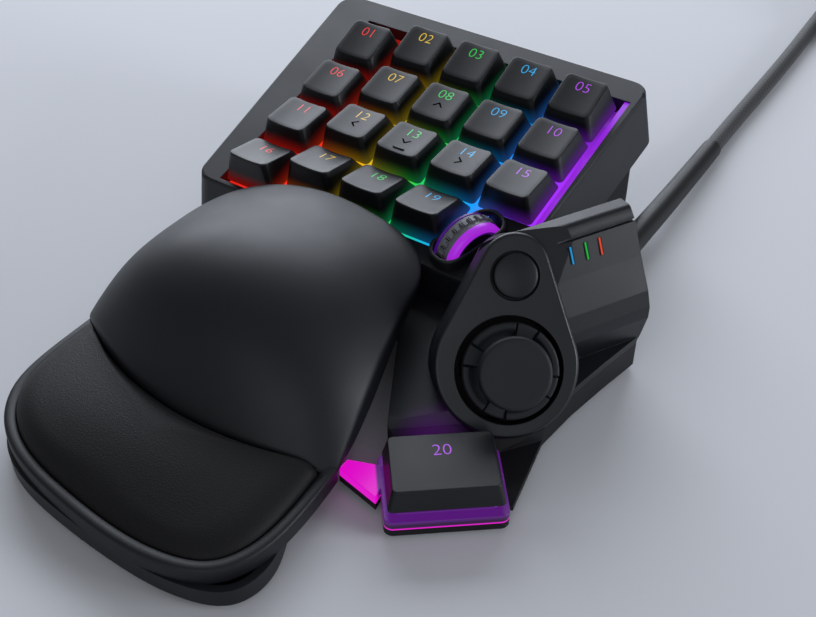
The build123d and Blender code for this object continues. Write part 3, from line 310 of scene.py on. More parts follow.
def leatherette():
    """Soft imitation leather: small pebbles with creases between them, dull but not dead."""
    material, tree, shader = new_material("pad_leatherette_black", {
        "Base Color": linear("08090A"), "Roughness": 0.6, "Specular IOR Level": 0.3, "Sheen Weight": 0.03})
    spot = add_node(tree, "ShaderNodeTexCoord", {})
    pebbles = add_node(tree, "ShaderNodeTexVoronoi", {
        "Vector": spot.outputs["Object"], "Scale": 1.0 / (PEBBLE * MM)}, feature="DISTANCE_TO_EDGE")
    emboss(tree, shader, pebbles.outputs["Distance"], PEBBLE_RELIEF, CREASE_DEPTH)
    return material


# About three threads of the cable's sheath, drawn coarser than they are so that they show
THREADS_WIDE, THREAD_RELIEF, THREAD_DEPTH = 5.0, 0.4, 0.15


def braid():
    """Woven sheath: two sets of fine diagonal threads that cross round the cable and dull its shine."""
    material, tree, shader = new_material("cable_braid_black", {
        "Base Color": linear("191A1C"), "Roughness": 0.62, "Sheen Weight": 0.2})
    spot = add_node(tree, "ShaderNodeTexCoord", {})
    waves = []
    for angle in (45.0, -45.0):
        turned = add_node(tree, "ShaderNodeMapping", {
            "Vector": spot.outputs["Object"], "Rotation": (0.0, 0.0, math.radians(angle))})
        waves.append(add_node(tree, "ShaderNodeTexWave", {
            "Vector": turned.outputs["Vector"], "Scale": 1.0 / (THREADS_WIDE * MM)}))
    threads = add_node(tree, "ShaderNodeMath", {0: waves[0].outputs["Fac"], 1: waves[1].outputs["Fac"]},
                       operation="MAXIMUM")
    bump = add_node(tree, "ShaderNodeBump", {
        "Strength": THREAD_RELIEF, "Distance": THREAD_DEPTH * MM, "Height": threads.outputs["Value"]})
    feed(tree, shader, {"Normal": bump.outputs["Normal"]})
    return material


DECK, CAP_SIDE_PAINTED_GLOW, MAGENTA, LEATHER, BRAID = deck_painted_glow(), cap_side_painted_glow(), base_acrylic(), leatherette(), braid()
# The case, the base and the housing carry the painted violet glow near the thumb key
CASE_PAINTED_SPILL = with_painted_thumb_key_spill(plastic("matt_black_abs_painted_violet_spill", *CASE_ABS))
BASE_PAINTED_SPILL = with_painted_thumb_key_spill(plastic("base_abs_painted_violet_spill", "0F1013", 0.58, shine=0.3))
HOUSING = with_painted_thumb_key_spill(plastic("matt_black_abs_housing_painted_violet_spill", "12151A", 0.44))
LAMP_BLUE = lamp_acrylic("lamp_blue", "1498D8", "050F15", "indicator_blue")
LAMP_GREEN = lamp_acrylic("lamp_green", "10B83C", "05120A", "indicator_green")
LAMP_RED = lamp_acrylic("lamp_red_orange", "E84A28", "150805", "indicator_red")


def placed(name, data):
    """A new object of the scene, with its mesh, curve, light or camera."""
    obj = bpy.data.objects.new(name, data)
    scene.collection.objects.link(obj)
    return obj


def evaluated_mesh(obj):
    """The plain mesh that an object's curve or modifiers come to."""
    return bpy.data.meshes.new_from_object(obj.evaluated_get(bpy.context.evaluated_depsgraph_get()))


def shade(mesh, crease):
    """Smooth shading, with a sharp edge wherever two faces meet at more than an angle in degrees."""
    mesh.polygons.foreach_set("use_smooth", [True] * len(mesh.polygons))
    mesh.set_sharp_from_angle(angle=math.radians(crease))


def finish(obj, body, materials, crease, stands_for=(), kinds=()):
    """Gives a mesh its materials, by the kind of each face, its faces outwards, its shading and its body."""
    mesh = obj.data
    for material in materials:
        mesh.materials.append(material)
    for face, kind in zip(mesh.polygons, kinds):
        face.material_index = kind
    bm = bmesh.new()
    bm.from_mesh(mesh)
    bmesh.ops.recalc_face_normals(bm, faces=bm.faces)
    bm.to_mesh(mesh)
    bm.free()
    shade(mesh, crease)
    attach(obj, body)
    if stands_for:
        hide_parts(*stands_for)
    return obj


def piece(name, shape, place, body, materials, crease, stands_for=(), kinds=()):
    """A piece from points in millimetres and faces, put in its place in the row frame."""
    verts, faces = shape
    move = TO_ROW @ place
    mesh = bpy.data.meshes.new(name)
    mesh.from_pydata([move @ Vector(v) for v in verts], [], faces)
    return finish(placed(name, mesh), body, materials, crease, stands_for, kinds)


def joined(shapes):
    """Several shapes, each of points and faces, as one."""
    verts, faces = [], []
    for more, polys in shapes:
        start = len(verts)
        verts.extend(more)
        faces.extend(tuple(start + i for i in poly) for poly in polys)
    return verts, faces


def rounded(width, depth, radius, steps=5, sides=8):
    """Points round a rectangle with rounded corners, centred on the origin."""
    arcs = []
    for cx, cy, start in ((1, 1, 0), (-1, 1, 90), (-1, -1, 180), (1, -1, 270)):
        turns = [math.radians(start + 90 * i / steps) for i in range(steps + 1)]
        arcs.append([(cx * (width / 2 - radius) + radius * math.cos(turn),
                      cy * (depth / 2 - radius) + radius * math.sin(turn)) for turn in turns])
    points = []
    for arc, after in zip(arcs, arcs[1:] + arcs[:1]):
        points += arc
        (ax, ay), (bx, by) = arc[-1], after[0]
        points += [(ax + (bx - ax) * i / sides, ay + (by - ay) * i / sides) for i in range(1, sides)]
    return points


def circle(radius, height, steps):
    return [(radius * math.cos(2 * math.pi * i / steps), radius * math.sin(2 * math.pi * i / steps), height)
            for i in range(steps)]


def level(outline, height):
    return [(x, y, height) for x, y in outline]


def skin(rings, looped=False):
    """A closed body through rings of equally many points, capped at its ends or looped to the first ring."""
    count = len(rings[0])
    last = len(rings) - 1
    faces = []
    for low, high in [(k, k + 1) for k in range(last)] + ([(last, 0)] if looped else []):
        for i in range(count):
            j = (i + 1) % count
            faces.append((low * count + i, low * count + j, high * count + j, high * count + i))
    if not looped:
        faces.append(tuple(range(count - 1, -1, -1)))
        faces.append(tuple(range(last * count, (last + 1) * count)))
    return [point for ring in rings for point in ring], faces


def lathe(profile, steps=96):
    """A turned body from a closed profile of radius and height pairs."""
    return skin([circle(radius, height, steps) for radius, height in profile], looped=True)


# The axis of a turned body without a bore is a hair wide, so that its faces keep four corners
AXIS = 0.01


def lettering(text, size):
    """A number as flat faces, centred on the origin."""
    curve = bpy.data.curves.new("legend", "FONT")
    curve.body = text
    curve.size = size
    curve.align_x = "CENTER"
    curve.align_y = "CENTER"
    curve.resolution_u = 4
    curve.offset = LEGEND_THINNING * size
    obj = placed("legend", curve)
    mesh = evaluated_mesh(obj)
    shape = [tuple(v.co) for v in mesh.vertices], [tuple(p.vertices) for p in mesh.polygons]
    bpy.data.objects.remove(obj)
    bpy.data.meshes.remove(mesh)
    return shape


def chevron(direction, size):
    """A small arrow head in outline, as the arrow keys carry."""
    outer = [(-1.0, -0.5), (0.0, 0.62), (1.0, -0.5)]
    inner = [(-0.62, -0.5), (0.0, 0.18), (0.62, -0.5)]
    turn = math.radians({"^": 0, "<": 90, "v": 180, ">": 270}[direction])
    c, s = math.cos(turn), math.sin(turn)
    points = [((x * c - y * s) * size, (x * s + y * c) * size, 0.0) for x, y in outer + inner]
    return points, [(0, 3, 4, 1), (1, 4, 5, 2)]


# The keys: their pitch, how far the first column is dropped, and each row's rise and lean from the rear on
KEY_COUNT, KEY_COLUMNS, KEY_PITCH, COLUMN_DROP = 19, 5, 19.05, 5.4
MIDDLE_COLUMN, MIDDLE_ROW, FRONT_ROW = 2, 1.5, 3
ROW_LIFTS = (1.0, -0.6, -0.2, 0.0)
ROW_LEANS = (9.0, 1.0, -8.5, -22.0)
# A cap: its foot, its top and their corners, its walls, its lip, and the dish across its top
KEY_BASE, KEY_BASE_ROUND, KEY_TOP, KEY_TOP_ROUND = 18.2, 1.4, (14.2, 14.8), 2.0
KEY_FILLET, FILLET_STEPS, FILLET_ROUND, CROWN_ROUND = 0.38, 4, 0.6, 1.6
KEY_WALL, KEY_ROOM_ROUND, KEY_LIP, KEY_LIP_ROUND = 1.4, 0.8, 0.2, 1.2
CEILING_DROP, CEILING_INSET, CEILING_ROUND = 1.9, 1.5, 1.0
DISH, DISH_HALF = 0.45, 6.4
SIDE_SHARES, CROWN_SHARES, SIDE_BANDS = (0.3, 0.6, 0.88), (0.8, 0.6, 0.4, 0.2), range(3, 7)
# Its stem, open at the foot, and the two catches that hold it in its guide
STEM, STEM_BORE, STEM_LOW, STEM_CEILING, STEM_TOP = 6.6, 4.8, -17.55, -14.5, -2.6
CATCH_REACH, CATCH_HALF, CATCH_LOW, CATCH_TOP = 0.7, 2.4, -17.2, -16.0
# What stands on its top. The front row's legends sit a little nearer the middle.
LEGEND_SIZE, LEGEND_THINNING, LEGEND_RISE, LEGEND_Y, FRONT_LEGEND_Y = 5.3, -0.016, 0.025, 3.4, 2.7
ARROWS, ARROW_SIZE, ARROW_Y = {8: "^", 12: "<", 13: "v", 14: ">"}, 1.8, -1.1
HOMING_KEY, HOMING_BAR, HOMING_ROUND, HOMING_Y, HOMING_RISE = 13, (4.2, 0.8), 0.34, -5.0, 0.35
HOMING_TAPER = (0.92, 0.7)


def dish_at(x):
    return -DISH * max(0.0, 1.0 - (x / DISH_HALF) ** 2)


def square(side, height):
    half = side / 2
    return [(half, half, height), (-half, half, height), (-half, -half, height), (half, -half, height)]


def keycap(number):
    """One key: its hollow cap with a dished top, its stem with two catches, and its marks."""
    row, column = divmod(number - 1, KEY_COLUMNS)
    lean = Matrix.Translation((0, 0, ROW_LIFTS[row])) @ Matrix.Rotation(math.radians(ROW_LEANS[row]), 4, "X")
    foot = rounded(KEY_BASE, KEY_BASE, KEY_BASE_ROUND)
    crown = rounded(*KEY_TOP, KEY_TOP_ROUND)

    def drawn_in(size, inset, corner):
        return rounded(size[0] - 2 * inset, size[1] - 2 * inset, corner)

    def leant(outline, drop=0.0, share=1.0, dished=True):
        return [tuple(lean @ Vector((x * share, y * share, (dish_at(x * share) if dished else 0.0) - drop)))
                for x, y in outline]

    rings = [leant(drawn_in(KEY_TOP, CEILING_INSET, CEILING_ROUND), CEILING_DROP, dished=False),
             level(drawn_in((KEY_BASE, KEY_BASE), KEY_WALL, KEY_ROOM_ROUND), -KEY_HEIGHT),
             level(drawn_in((KEY_BASE, KEY_BASE), KEY_LIP, KEY_LIP_ROUND), -KEY_HEIGHT),
             level(foot, KEY_LIP - KEY_HEIGHT)]
    for share in SIDE_SHARES:
        rings.append([tuple(Vector(low).lerp(Vector(high), share))
                      for low, high in zip(level(foot, -KEY_HEIGHT), leant(crown))])
    for i in range(FILLET_STEPS + 1):
        turn = math.radians(90 * i / FILLET_STEPS)
        inset = KEY_FILLET * (1 - math.cos(turn))
        rings.append(leant(drawn_in(KEY_TOP, inset, KEY_TOP_ROUND - inset * FILLET_ROUND),
                           KEY_FILLET * (1 - math.sin(turn))))
    for share in CROWN_SHARES:
        rings.append(leant(drawn_in(KEY_TOP, KEY_FILLET, CROWN_ROUND), share=share))
    shapes = [skin(rings)]
    # The cap's outer sides take the material with the painted glow
    kinds = [3 if i // len(foot) in SIDE_BANDS else 0 for i in range(len(shapes[0][1]))]

    def add(shape, kind=0):
        shapes.append(shape)
        kinds.extend([kind] * len(shape[1]))

    def on_top(points, x, y):
        return [tuple(lean @ Vector((px + x, py + y, dish_at(px + x) + LEGEND_RISE)))
                for px, py, pz in points]

    add(skin([square(STEM_BORE, STEM_CEILING), square(STEM_BORE, STEM_LOW), square(STEM, STEM_LOW),
              square(STEM, STEM_TOP)]))
    for side in (-1, 1):
        x0, x1 = sorted((side * STEM / 2, side * (STEM / 2 + CATCH_REACH)))
        catch = [(x0, -CATCH_HALF), (x1, -CATCH_HALF), (x1, CATCH_HALF), (x0, CATCH_HALF)]
        add(skin([level(catch, CATCH_LOW), level(catch, CATCH_TOP)]))
    points, polys = lettering("%02d" % number, LEGEND_SIZE)
    add((on_top(points, 0.0, LEGEND_Y if row < FRONT_ROW else FRONT_LEGEND_Y), polys), 1)
    if number in ARROWS:
        points, polys = chevron(ARROWS[number], ARROW_SIZE)
        add((on_top(points, 0.0, ARROW_Y), polys), 2)
    if number == HOMING_KEY:
        ridge = rounded(*HOMING_BAR, HOMING_ROUND, 3)
        narrow = [(x * HOMING_TAPER[0], y * HOMING_TAPER[1]) for x, y in ridge]
        up = lean.to_3x3() @ Vector((0, 0, HOMING_RISE))
        add(skin([on_top(level(ridge, 0.0), 0.0, HOMING_Y),
                  [tuple(Vector(point) + up) for point in on_top(level(narrow, 0.0), 0.0, HOMING_Y)]]))
    x = (column - MIDDLE_COLUMN) * KEY_PITCH
    y = (MIDDLE_ROW - row) * KEY_PITCH - (COLUMN_DROP if column == 0 else 0.0)
    name = "keycap_%02d" % number
    piece(name + "_detailed", joined(shapes), PLATE @ Matrix.Translation((x, y, 0)), "key_%02d" % number,
          [CAP, LEGENDS[column], DARK_MARK, CAP_SIDE_PAINTED_GLOW], 40.0, (name,), kinds)


for number in range(1, KEY_COUNT + 1):
    keycap(number)

# The palm rest's outline, as shares of its width from its middle and of its length from its rear
PALM_MID_X, PALM_REAR_Y, PALM_WIDTH, PALM_LENGTH, OUTLINE_STEPS = -3.4, -40.0, 95.3, 116.0, 9
PALM_SHARES = ((-0.469, 0.802), (-0.385, 0.888), (-0.259, 0.944), (-0.069, 0.981), (0.141, 1.0),
               (0.309, 0.990), (0.425, 0.948), (0.483, 0.871), (0.502, 0.741), (0.483, 0.552),
               (0.441, 0.362), (0.399, 0.198), (0.362, 0.086), (0.294, 0.028), (0.120, 0.0),
               (-0.112, 0.003), (-0.269, 0.041), (-0.385, 0.125), (-0.459, 0.250),
               (-0.491, 0.414), (-0.501, 0.620))
# The dome from rear to front: a share of the length, then the crown's and the edge's shares of their heights
CROWN_X, CROWN_HEIGHT, EDGE_HEIGHT, CROWN_HALF, DOME_HALF, EDGE_FALL = -4.0, 45.5, 21.0, 47.0, 50.0, 2.2
DOME_SHARES = ((-0.03, 0.795, 0.96), (0.09, 0.90, 1.0), (0.22, 0.975, 0.95), (0.36, 1.0, 0.88),
               (0.48, 0.925, 0.76), (0.57, 0.77, 0.66), (0.63, 0.60, 0.60), (0.6785, 0.44, 0.57))
# The shell's lower rim, in the same way, and the bowed line where the dome ends and the pad begins
RIM_HEIGHT = 36.8
RIM_SHARES = ((-0.10, 0.97), (0.10, 0.79), (0.20, 0.675), (0.30, 0.56), (0.40, 0.43),
              (0.50, 0.32), (0.58, 0.27), (0.70, 0.26), (1.10, 0.26))
DOME_FRONT, BOW_X, BOW_RADIUS = -118.706, 4.0, 90.0
GROOVE_DEPTH, GROOVE_REACH = 3.4, 18.0
# The shell's walls, its rounded edges, and the rays on which it is drawn
PALM_WALL, DOME_EDGE, EDGE_SHARE, FOOT_EDGE, FOOT_SHARE, FOOT_UNDER = 2.4, 1.2, 0.4, 0.7, 0.3, 2.4
RIM_CLEAR, ROOM_CLEAR, LEAST_WALL = 0.9, 0.3, 1.0
SHELL_CENTRE, SHELL_RAYS, SHELL_STEPS, SHELL_REACH, ROOM_STEPS = (CROWN_X + 1.0, -84.0), 260, 30, 0.985, 12
# The tray under the pad. A ring is how far it lies inside the outline, past the bowed line, and its height.
TRAY_TOP, TRAY_FLOOR, TRAY_LOW, TRAY_INSET, TRAY_RAYS = 12.0, 9.0, 7.0, 3.4, 180
TRAY_RINGS = ((0.0, -PALM_WALL, TRAY_LOW), (0.0, -PALM_WALL, TRAY_TOP - 1.6),
              (0.08, -PALM_WALL, TRAY_TOP - 0.8), (0.35, -PALM_WALL, TRAY_TOP - 0.25),
              (1.0, -PALM_WALL, TRAY_TOP), (TRAY_INSET - 0.4, -0.1, TRAY_TOP - 0.1),
              (TRAY_INSET, 0.0, TRAY_TOP - 0.5), (TRAY_INSET, 0.0, TRAY_FLOOR))
# The pad: a pillow that swells over PAD_SWELL from its tucked edge, which lies PAD_DROP below its top
PAD_CENTRE, PAD_RAYS, PAD_RINGS = (CROWN_X + 2.0, -134.0), 240, 44
PAD_GAP, PAD_FRONT, PAD_INSET, PAD_SWELL, PAD_DROP, PAD_SINK = 0.15, -152.6, 3.55, 10.0, 3.6, 0.2
PAD_CROWDING, PAD_ROUNDNESS, PAD_SEAT, PAD_TUCK, PAD_TUCK_RISE = 1.5, 2.6, 1.0, 0.6, 0.5
PAD_SHARES = ((-0.65, 0.45, 0.33), (0.0, 0.44, 0.335), (0.45, 0.42, 0.32), (0.75, 0.37, 0.30),
              (1.0, 0.31, 0.275))
PAD_SHARE_LIMITS = (-0.65, 1.15)
# The screw posts under the dome: their places, and the radius and height of each ring below the ceiling
PALM_POSTS = ((-33.0, -79.0), (19.3, -79.0), (-36.0, -102.0), (24.0, -103.0))
POST_RADIUS, POST_SIDES, POST_ROOT = 3.2, 32, 0.5
POST_RINGS = ((1.25, 15.6), (1.25, 3.8), (2.9, 3.8), (POST_RADIUS, 4.1))


def spline_through(places, values):
    """A smooth line through a few values, as a function: a natural cubic spline."""
    x = numpy.array(places, float)
    y = numpy.array(values, float)
    n = len(x)
    h = numpy.diff(x)
    grid = numpy.eye(n)
    right = numpy.zeros(n)
    for i in range(1, n - 1):
        grid[i, i - 1:i + 2] = (h[i - 1], 2 * (h[i - 1] + h[i]), h[i])
        right[i] = 6 * ((y[i + 1] - y[i]) / h[i] - (y[i] - y[i - 1]) / h[i - 1])
    second = numpy.linalg.solve(grid, right)

    def at(place):
        i = min(max(int(numpy.searchsorted(x, place)) - 1, 0), n - 2)
        a, b = (x[i + 1] - place) / h[i], (place - x[i]) / h[i]
        return float(a * y[i] + b * y[i + 1]
                     + ((a ** 3 - a) * second[i] + (b ** 3 - b) * second[i + 1]) * h[i] ** 2 / 6)
    return at


def line_through(places, values):
    """Straight lines through a few values, as a function."""
    def at(place):
        for (x0, y0), (x1, y1) in zip(zip(places, values), zip(places[1:], values[1:])):
            if place <= x1:
                return y0 + (y1 - y0) * (place - x0) / (x1 - x0)
        return values[-1]
    return at


def closed_curve(points, steps):
    """Points along a closed smooth curve through the given ones, each span divided in steps."""
    p = numpy.array(points, float)
    n = len(p)
    h = numpy.linalg.norm(numpy.roll(p, -1, axis=0) - p, axis=1)
    grid = numpy.zeros((n, n))
    right = numpy.zeros((n, 2))
    for i in range(n):
        before, after = (i - 1) % n, (i + 1) % n
        grid[i, before] += h[before]
        grid[i, i] += 2 * (h[before] + h[i])
        grid[i, after] += h[i]
        right[i] = 6 * ((p[after] - p[i]) / h[i] - (p[i] - p[before]) / h[before])
    second = numpy.linalg.solve(grid, right)
    out = []
    for i in range(n):
        after = (i + 1) % n
        for k in range(steps):
            b = k / steps
            a = 1 - b
            q = (a * p[i] + b * p[after]
                 + ((a ** 3 - a) * second[i] + (b ** 3 - b) * second[after]) * h[i] ** 2 / 6)
            out.append((float(q[0]), float(q[1])))
    return out


def heights(line, shares, column, height):
    """A line through a column of a table of shares, as heights."""
    return line([row[0] for row in shares], [row[column] * height for row in shares])


crown_at = heights(spline_through, DOME_SHARES, 1, CROWN_HEIGHT)
edge_at = heights(spline_through, DOME_SHARES, 2, EDGE_HEIGHT)
rim_at = heights(line_through, RIM_SHARES, 1, RIM_HEIGHT)
pad_crown_at = heights(spline_through, PAD_SHARES, 1, CROWN_HEIGHT)
pad_edge_at = heights(spline_through, PAD_SHARES, 2, CROWN_HEIGHT)
PALM_OUTLINE = closed_curve([(PALM_MID_X + x * PALM_WIDTH, PALM_REAR_Y - y * PALM_LENGTH)
                             for x, y in PALM_SHARES], OUTLINE_STEPS)


def arc_height(x, crown, edge, half):
    """Height of a low arc over the crown line, whose ends lie half a width away."""
    sag = crown - edge
    radius = (half * half + sag * sag) / (2 * sag)
    return crown - radius + math.sqrt(max(radius * radius - (x - CROWN_X) ** 2, 0.0))


def shell_height(x, y):
    """The dome's top, which runs down into a shallow groove before the pad."""
    share = (PALM_REAR_Y - y) / PALM_LENGTH
    crown, edge = crown_at(share), edge_at(share)
    edge_beyond = crown - (crown - edge) * (DOME_HALF / CROWN_HALF) ** EDGE_FALL
    before = BOW_RADIUS - math.hypot(x - BOW_X, y - (DOME_FRONT + BOW_RADIUS))
    dip = GROOVE_DEPTH * max(0.0, 1.0 - before / GROOVE_REACH) ** 2
    return arc_height(x, crown, edge_beyond, DOME_HALF) - dip


def rim_height(y):
    return rim_at((PALM_REAR_Y - y) / PALM_LENGTH)


def pad_height(x, y):
    rear = DOME_FRONT - PAD_GAP
    share = min(max((y - rear) / (PAD_FRONT - rear), PAD_SHARE_LIMITS[0]), PAD_SHARE_LIMITS[1])
    return arc_height(x, pad_crown_at(share), pad_edge_at(share), CROWN_HALF)


def inset_outline(points, distance):
    """An outline drawn in by a distance, point by point."""
    out = []
    for i, (x, y) in enumerate(points):
        (ax, ay), (bx, by) = points[i - 1], points[(i + 1) % len(points)]
        length = math.hypot(bx - ax, by - ay)
        out.append((x - (by - ay) / length * distance, y + (bx - ax) / length * distance))
    return out


def outline_reach(outline, centre, angle):
    """How far a ray from the centre goes before it leaves an outline."""
    dx, dy = math.cos(angle), math.sin(angle)
    parallel, slack = 1e-12, 1e-9
    best = 0.0
    for start, end in zip(outline, outline[1:] + outline[:1]):
        ax, ay = start[0] - centre[0], start[1] - centre[1]
        ex, ey = end[0] - start[0], end[1] - start[1]
        cross = dx * ey - dy * ex
        if abs(cross) < parallel:
            continue
        run, share = (ax * ey - ay * ex) / cross, (ax * dy - ay * dx) / cross
        if run > 0 and -slack <= share <= 1 + slack:
            best = max(best, run)
    return best


def bow_reach(centre, angle, grow):
    """How far a ray goes before it meets the bowed line between the dome and the pad."""
    x, y = centre[0] - BOW_X, centre[1] - (DOME_FRONT + BOW_RADIUS)
    ahead = x * math.cos(angle) + y * math.sin(angle)
    rest = x * x + y * y - (BOW_RADIUS + grow) ** 2
    root = ahead * ahead - rest
    if root <= 0:
        return math.inf
    reach = -ahead + (1 if rest < 0 else -1) * math.sqrt(root)
    return reach if reach > 0 else math.inf


def plan_reach(centre, angle, outline, grow):
    """How far a ray goes before it meets the outline or the bowed line."""
    return min(outline_reach(outline, centre, angle), bow_reach(centre, angle, grow))


def last_above(reach, height):
    """The longest run, up to a reach, at which a height is still over zero, found by halving."""
    if height(reach) >= 0:
        return reach
    low, high = 0.0, reach
    for halving in range(30):
        middle = (low + high) / 2
        if height(middle) > 0:
            low = middle
        else:
            high = middle
    return low


def corner_curve(a, b, c, steps):
    """Points that round the corner b between a and c."""
    return [tuple((1 - t) ** 2 * p + 2 * t * (1 - t) * q + t * t * r for p, q, r in zip(a, b, c))
            for t in (i / steps for i in range(steps + 1))]


def columns_skin(top, bottom, columns):
    """A closed body from columns of points, which run outwards from a top point and back to a bottom one."""
    count, length = len(columns), len(columns[0])
    at = lambda i, k: 2 + (i % count) * length + k
    faces = []
    for i in range(count):
        faces.append((0, at(i, 0), at(i + 1, 0)))
        for k in range(length - 1):
            faces.append((at(i, k), at(i, k + 1), at(i + 1, k + 1), at(i + 1, k)))
        faces.append((1, at(i + 1, length - 1), at(i, length - 1)))
    return [top, bottom] + [point for column in columns for point in column], faces


def front_region(distance, grow):
    """The part of the outline in front of the bowed line, drawn in by a distance, as points on even rays."""
    inner = inset_outline(PALM_OUTLINE, distance) if distance else PALM_OUTLINE
    out = []
    for angle in (2 * math.pi * i / TRAY_RAYS for i in range(TRAY_RAYS)):
        reach = plan_reach(PAD_CENTRE, angle, inner, grow)
        out.append((PAD_CENTRE[0] + math.cos(angle) * reach, PAD_CENTRE[1] + math.sin(angle) * reach))
    return out


def palm_shell():
    """The dome as a thin wall, cut off at its rim, with the pad's tray and the posts for the screws."""
    cx, cy = SHELL_CENTRE
    inner = inset_outline(PALM_OUTLINE, PALM_WALL)
    columns = []
    for angle in (2 * math.pi * i / SHELL_RAYS for i in range(SHELL_RAYS)):
        dx, dy = math.cos(angle), math.sin(angle)
        spot = lambda run, drop=0.0: (
            cx + dx * run, cy + dy * run, shell_height(cx + dx * run, cy + dy * run) - drop)
        clear = lambda run, drop: spot(run, drop)[2] - rim_height(cy + dy * run)
        foot_at = lambda run: max(rim_height(cy + dy * run), TRAY_TOP - FOOT_UNDER)
        reach = last_above(plan_reach(SHELL_CENTRE, angle, PALM_OUTLINE, 0.0),
                           lambda run: clear(run, RIM_CLEAR))
        foot = foot_at(reach)
        x, y, edge = spot(reach)
        side = edge - foot
        column = [spot(reach * SHELL_REACH * i / SHELL_STEPS) for i in range(1, SHELL_STEPS)]
        column += corner_curve(spot(reach - DOME_EDGE), (x, y, edge),
                               (x, y, edge - min(DOME_EDGE, side * EDGE_SHARE)), 4)
        column += corner_curve((x, y, foot + min(FOOT_EDGE, side * FOOT_SHARE)), (x, y, foot),
                               (x - dx * FOOT_EDGE, y - dy * FOOT_EDGE, foot), 3)
        under = last_above(plan_reach(SHELL_CENTRE, angle, inner, -PALM_WALL),
                           lambda run: clear(run, PALM_WALL + ROOM_CLEAR))
        under = min(under, reach - LEAST_WALL)
        column.append((cx + dx * under, cy + dy * under, foot_at(under)))
        column += [spot(under * i / ROOM_STEPS, PALM_WALL) for i in range(ROOM_STEPS, 0, -1)]
        columns.append(column)
    top = shell_height(cx, cy)
    shapes = [columns_skin((cx, cy, top), (cx, cy, top - PALM_WALL), columns),
              skin([level(front_region(inset, grow), height) for inset, grow, height in TRAY_RINGS])]
    for x, y in PALM_POSTS:
        around = [shell_height(x + px, y + py) for px, py, pz in circle(POST_RADIUS, 0.0, 8)]
        ceiling = min(around) - PALM_WALL * POST_ROOT
        shapes.append(skin([[(x + px, y + py, pz) for px, py, pz in circle(radius, height, POST_SIDES)]
                            for radius, height in (*POST_RINGS, (POST_RADIUS, ceiling))]))
    return joined(shapes)


def pad():
    """The pad: a low pillow that swells from its tucked edge to a broad crown."""
    cx, cy = PAD_CENTRE
    inner = inset_outline(PALM_OUTLINE, PAD_INSET)
    columns = []
    for angle in (2 * math.pi * i / PAD_RAYS for i in range(PAD_RAYS)):
        dx, dy = math.cos(angle), math.sin(angle)
        reach = plan_reach(PAD_CENTRE, angle, inner, PAD_GAP)
        column = []
        for share in (k / PAD_RINGS for k in range(1, PAD_RINGS + 1)):
            run = reach * (1 - (1 - share) ** PAD_CROWDING)
            x, y = cx + dx * run, cy + dy * run
            near = min((reach - run) / PAD_SWELL, 1.0)
            top = pad_height(x, y) - PAD_SINK
            drop = min(PAD_DROP, top - TRAY_TOP + PAD_SEAT)
            column.append((x, y, top - drop * (1 - math.sqrt(max(1 - (1 - near) ** PAD_ROUNDNESS, 0.0)))))
        x, y = cx + dx * reach, cy + dy * reach
        column.append((x, y, TRAY_FLOOR + PAD_TUCK_RISE))
        column.append((x - dx * PAD_TUCK, y - dy * PAD_TUCK, TRAY_FLOOR))
        columns.append(column)
    return columns_skin((cx, cy, pad_height(cx, cy) - PAD_SINK), (cx, cy, TRAY_FLOOR), columns)


piece("palm_rest_shell_detailed", palm_shell(), UPRIGHT, "palm_rest", [CASE], 45.0,
      ("palm_rest_shell",))
cushion = piece("palm_pad_detailed", pad(), UPRIGHT, "palm_rest", [LEATHER], 60.0,
                ("palm_pad",))

# Moulded pieces: points nearer than this are one, and faces that differ by less than this angle are flat
SAME_POINT, FLAT_ANGLE, HARD_ANGLE, MOULDED_CREASE = 0.002, math.radians(0.6), 38.0, 32.0


def softened(node, width, material, body, groove=None, hard_angle=HARD_ANGLE):
    """A piece with the node's own faces, its facets merged and its hard edges rounded to a width."""
    mesh = bpy.data.meshes.new_from_object(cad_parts[node])
    mesh.materials.clear()
    bm = bmesh.new()
    bm.from_mesh(mesh)
    bmesh.ops.remove_doubles(bm, verts=bm.verts, dist=SAME_POINT * MM)
    bmesh.ops.dissolve_limit(bm, angle_limit=FLAT_ANGLE, verts=bm.verts, edges=bm.edges)
    bm.to_mesh(mesh)
    bm.free()
    obj = placed(node + "_detailed", mesh)
    bevel = obj.modifiers.new("edge rounding", "BEVEL")
    bevel.width = width * MM
    bevel.segments = 3
    bevel.limit_method = "ANGLE"
    bevel.angle_limit = math.radians(hard_angle)
    bevel.use_clamp_overlap = True
    bevel.miter_outer = "MITER_ARC"
    if groove:
        cut = obj.modifiers.new("groove", "BOOLEAN")
        cut.operation = "DIFFERENCE"
        cut.solver = "EXACT"
        cut.object = groove
    fresh = evaluated_mesh(obj)
    obj.modifiers.clear()
    obj.data = fresh
    if groove:
        bpy.data.objects.remove(groove)
    finish(obj, body, [material], MOULDED_CREASE, (node,))
    even = obj.modifiers.new("even shading", "WEIGHTED_NORMAL")
    even.keep_sharp = True
    even.weight = 100
    fresh = evaluated_mesh(obj)
    obj.modifiers.clear()
    obj.data = fresh
    return obj


# The housing's parting line runs across its slope, this far above the lamps, which are sunk in it
SLOPE, LAMP_SINK, SEAM_RISE = math.radians(60.2), 1.0, 4.1
SEAM_LONG, SEAM_WIDE, SEAM_DEEP, SEAM_OVER = 70.0, 0.65, 1.2, 2.0


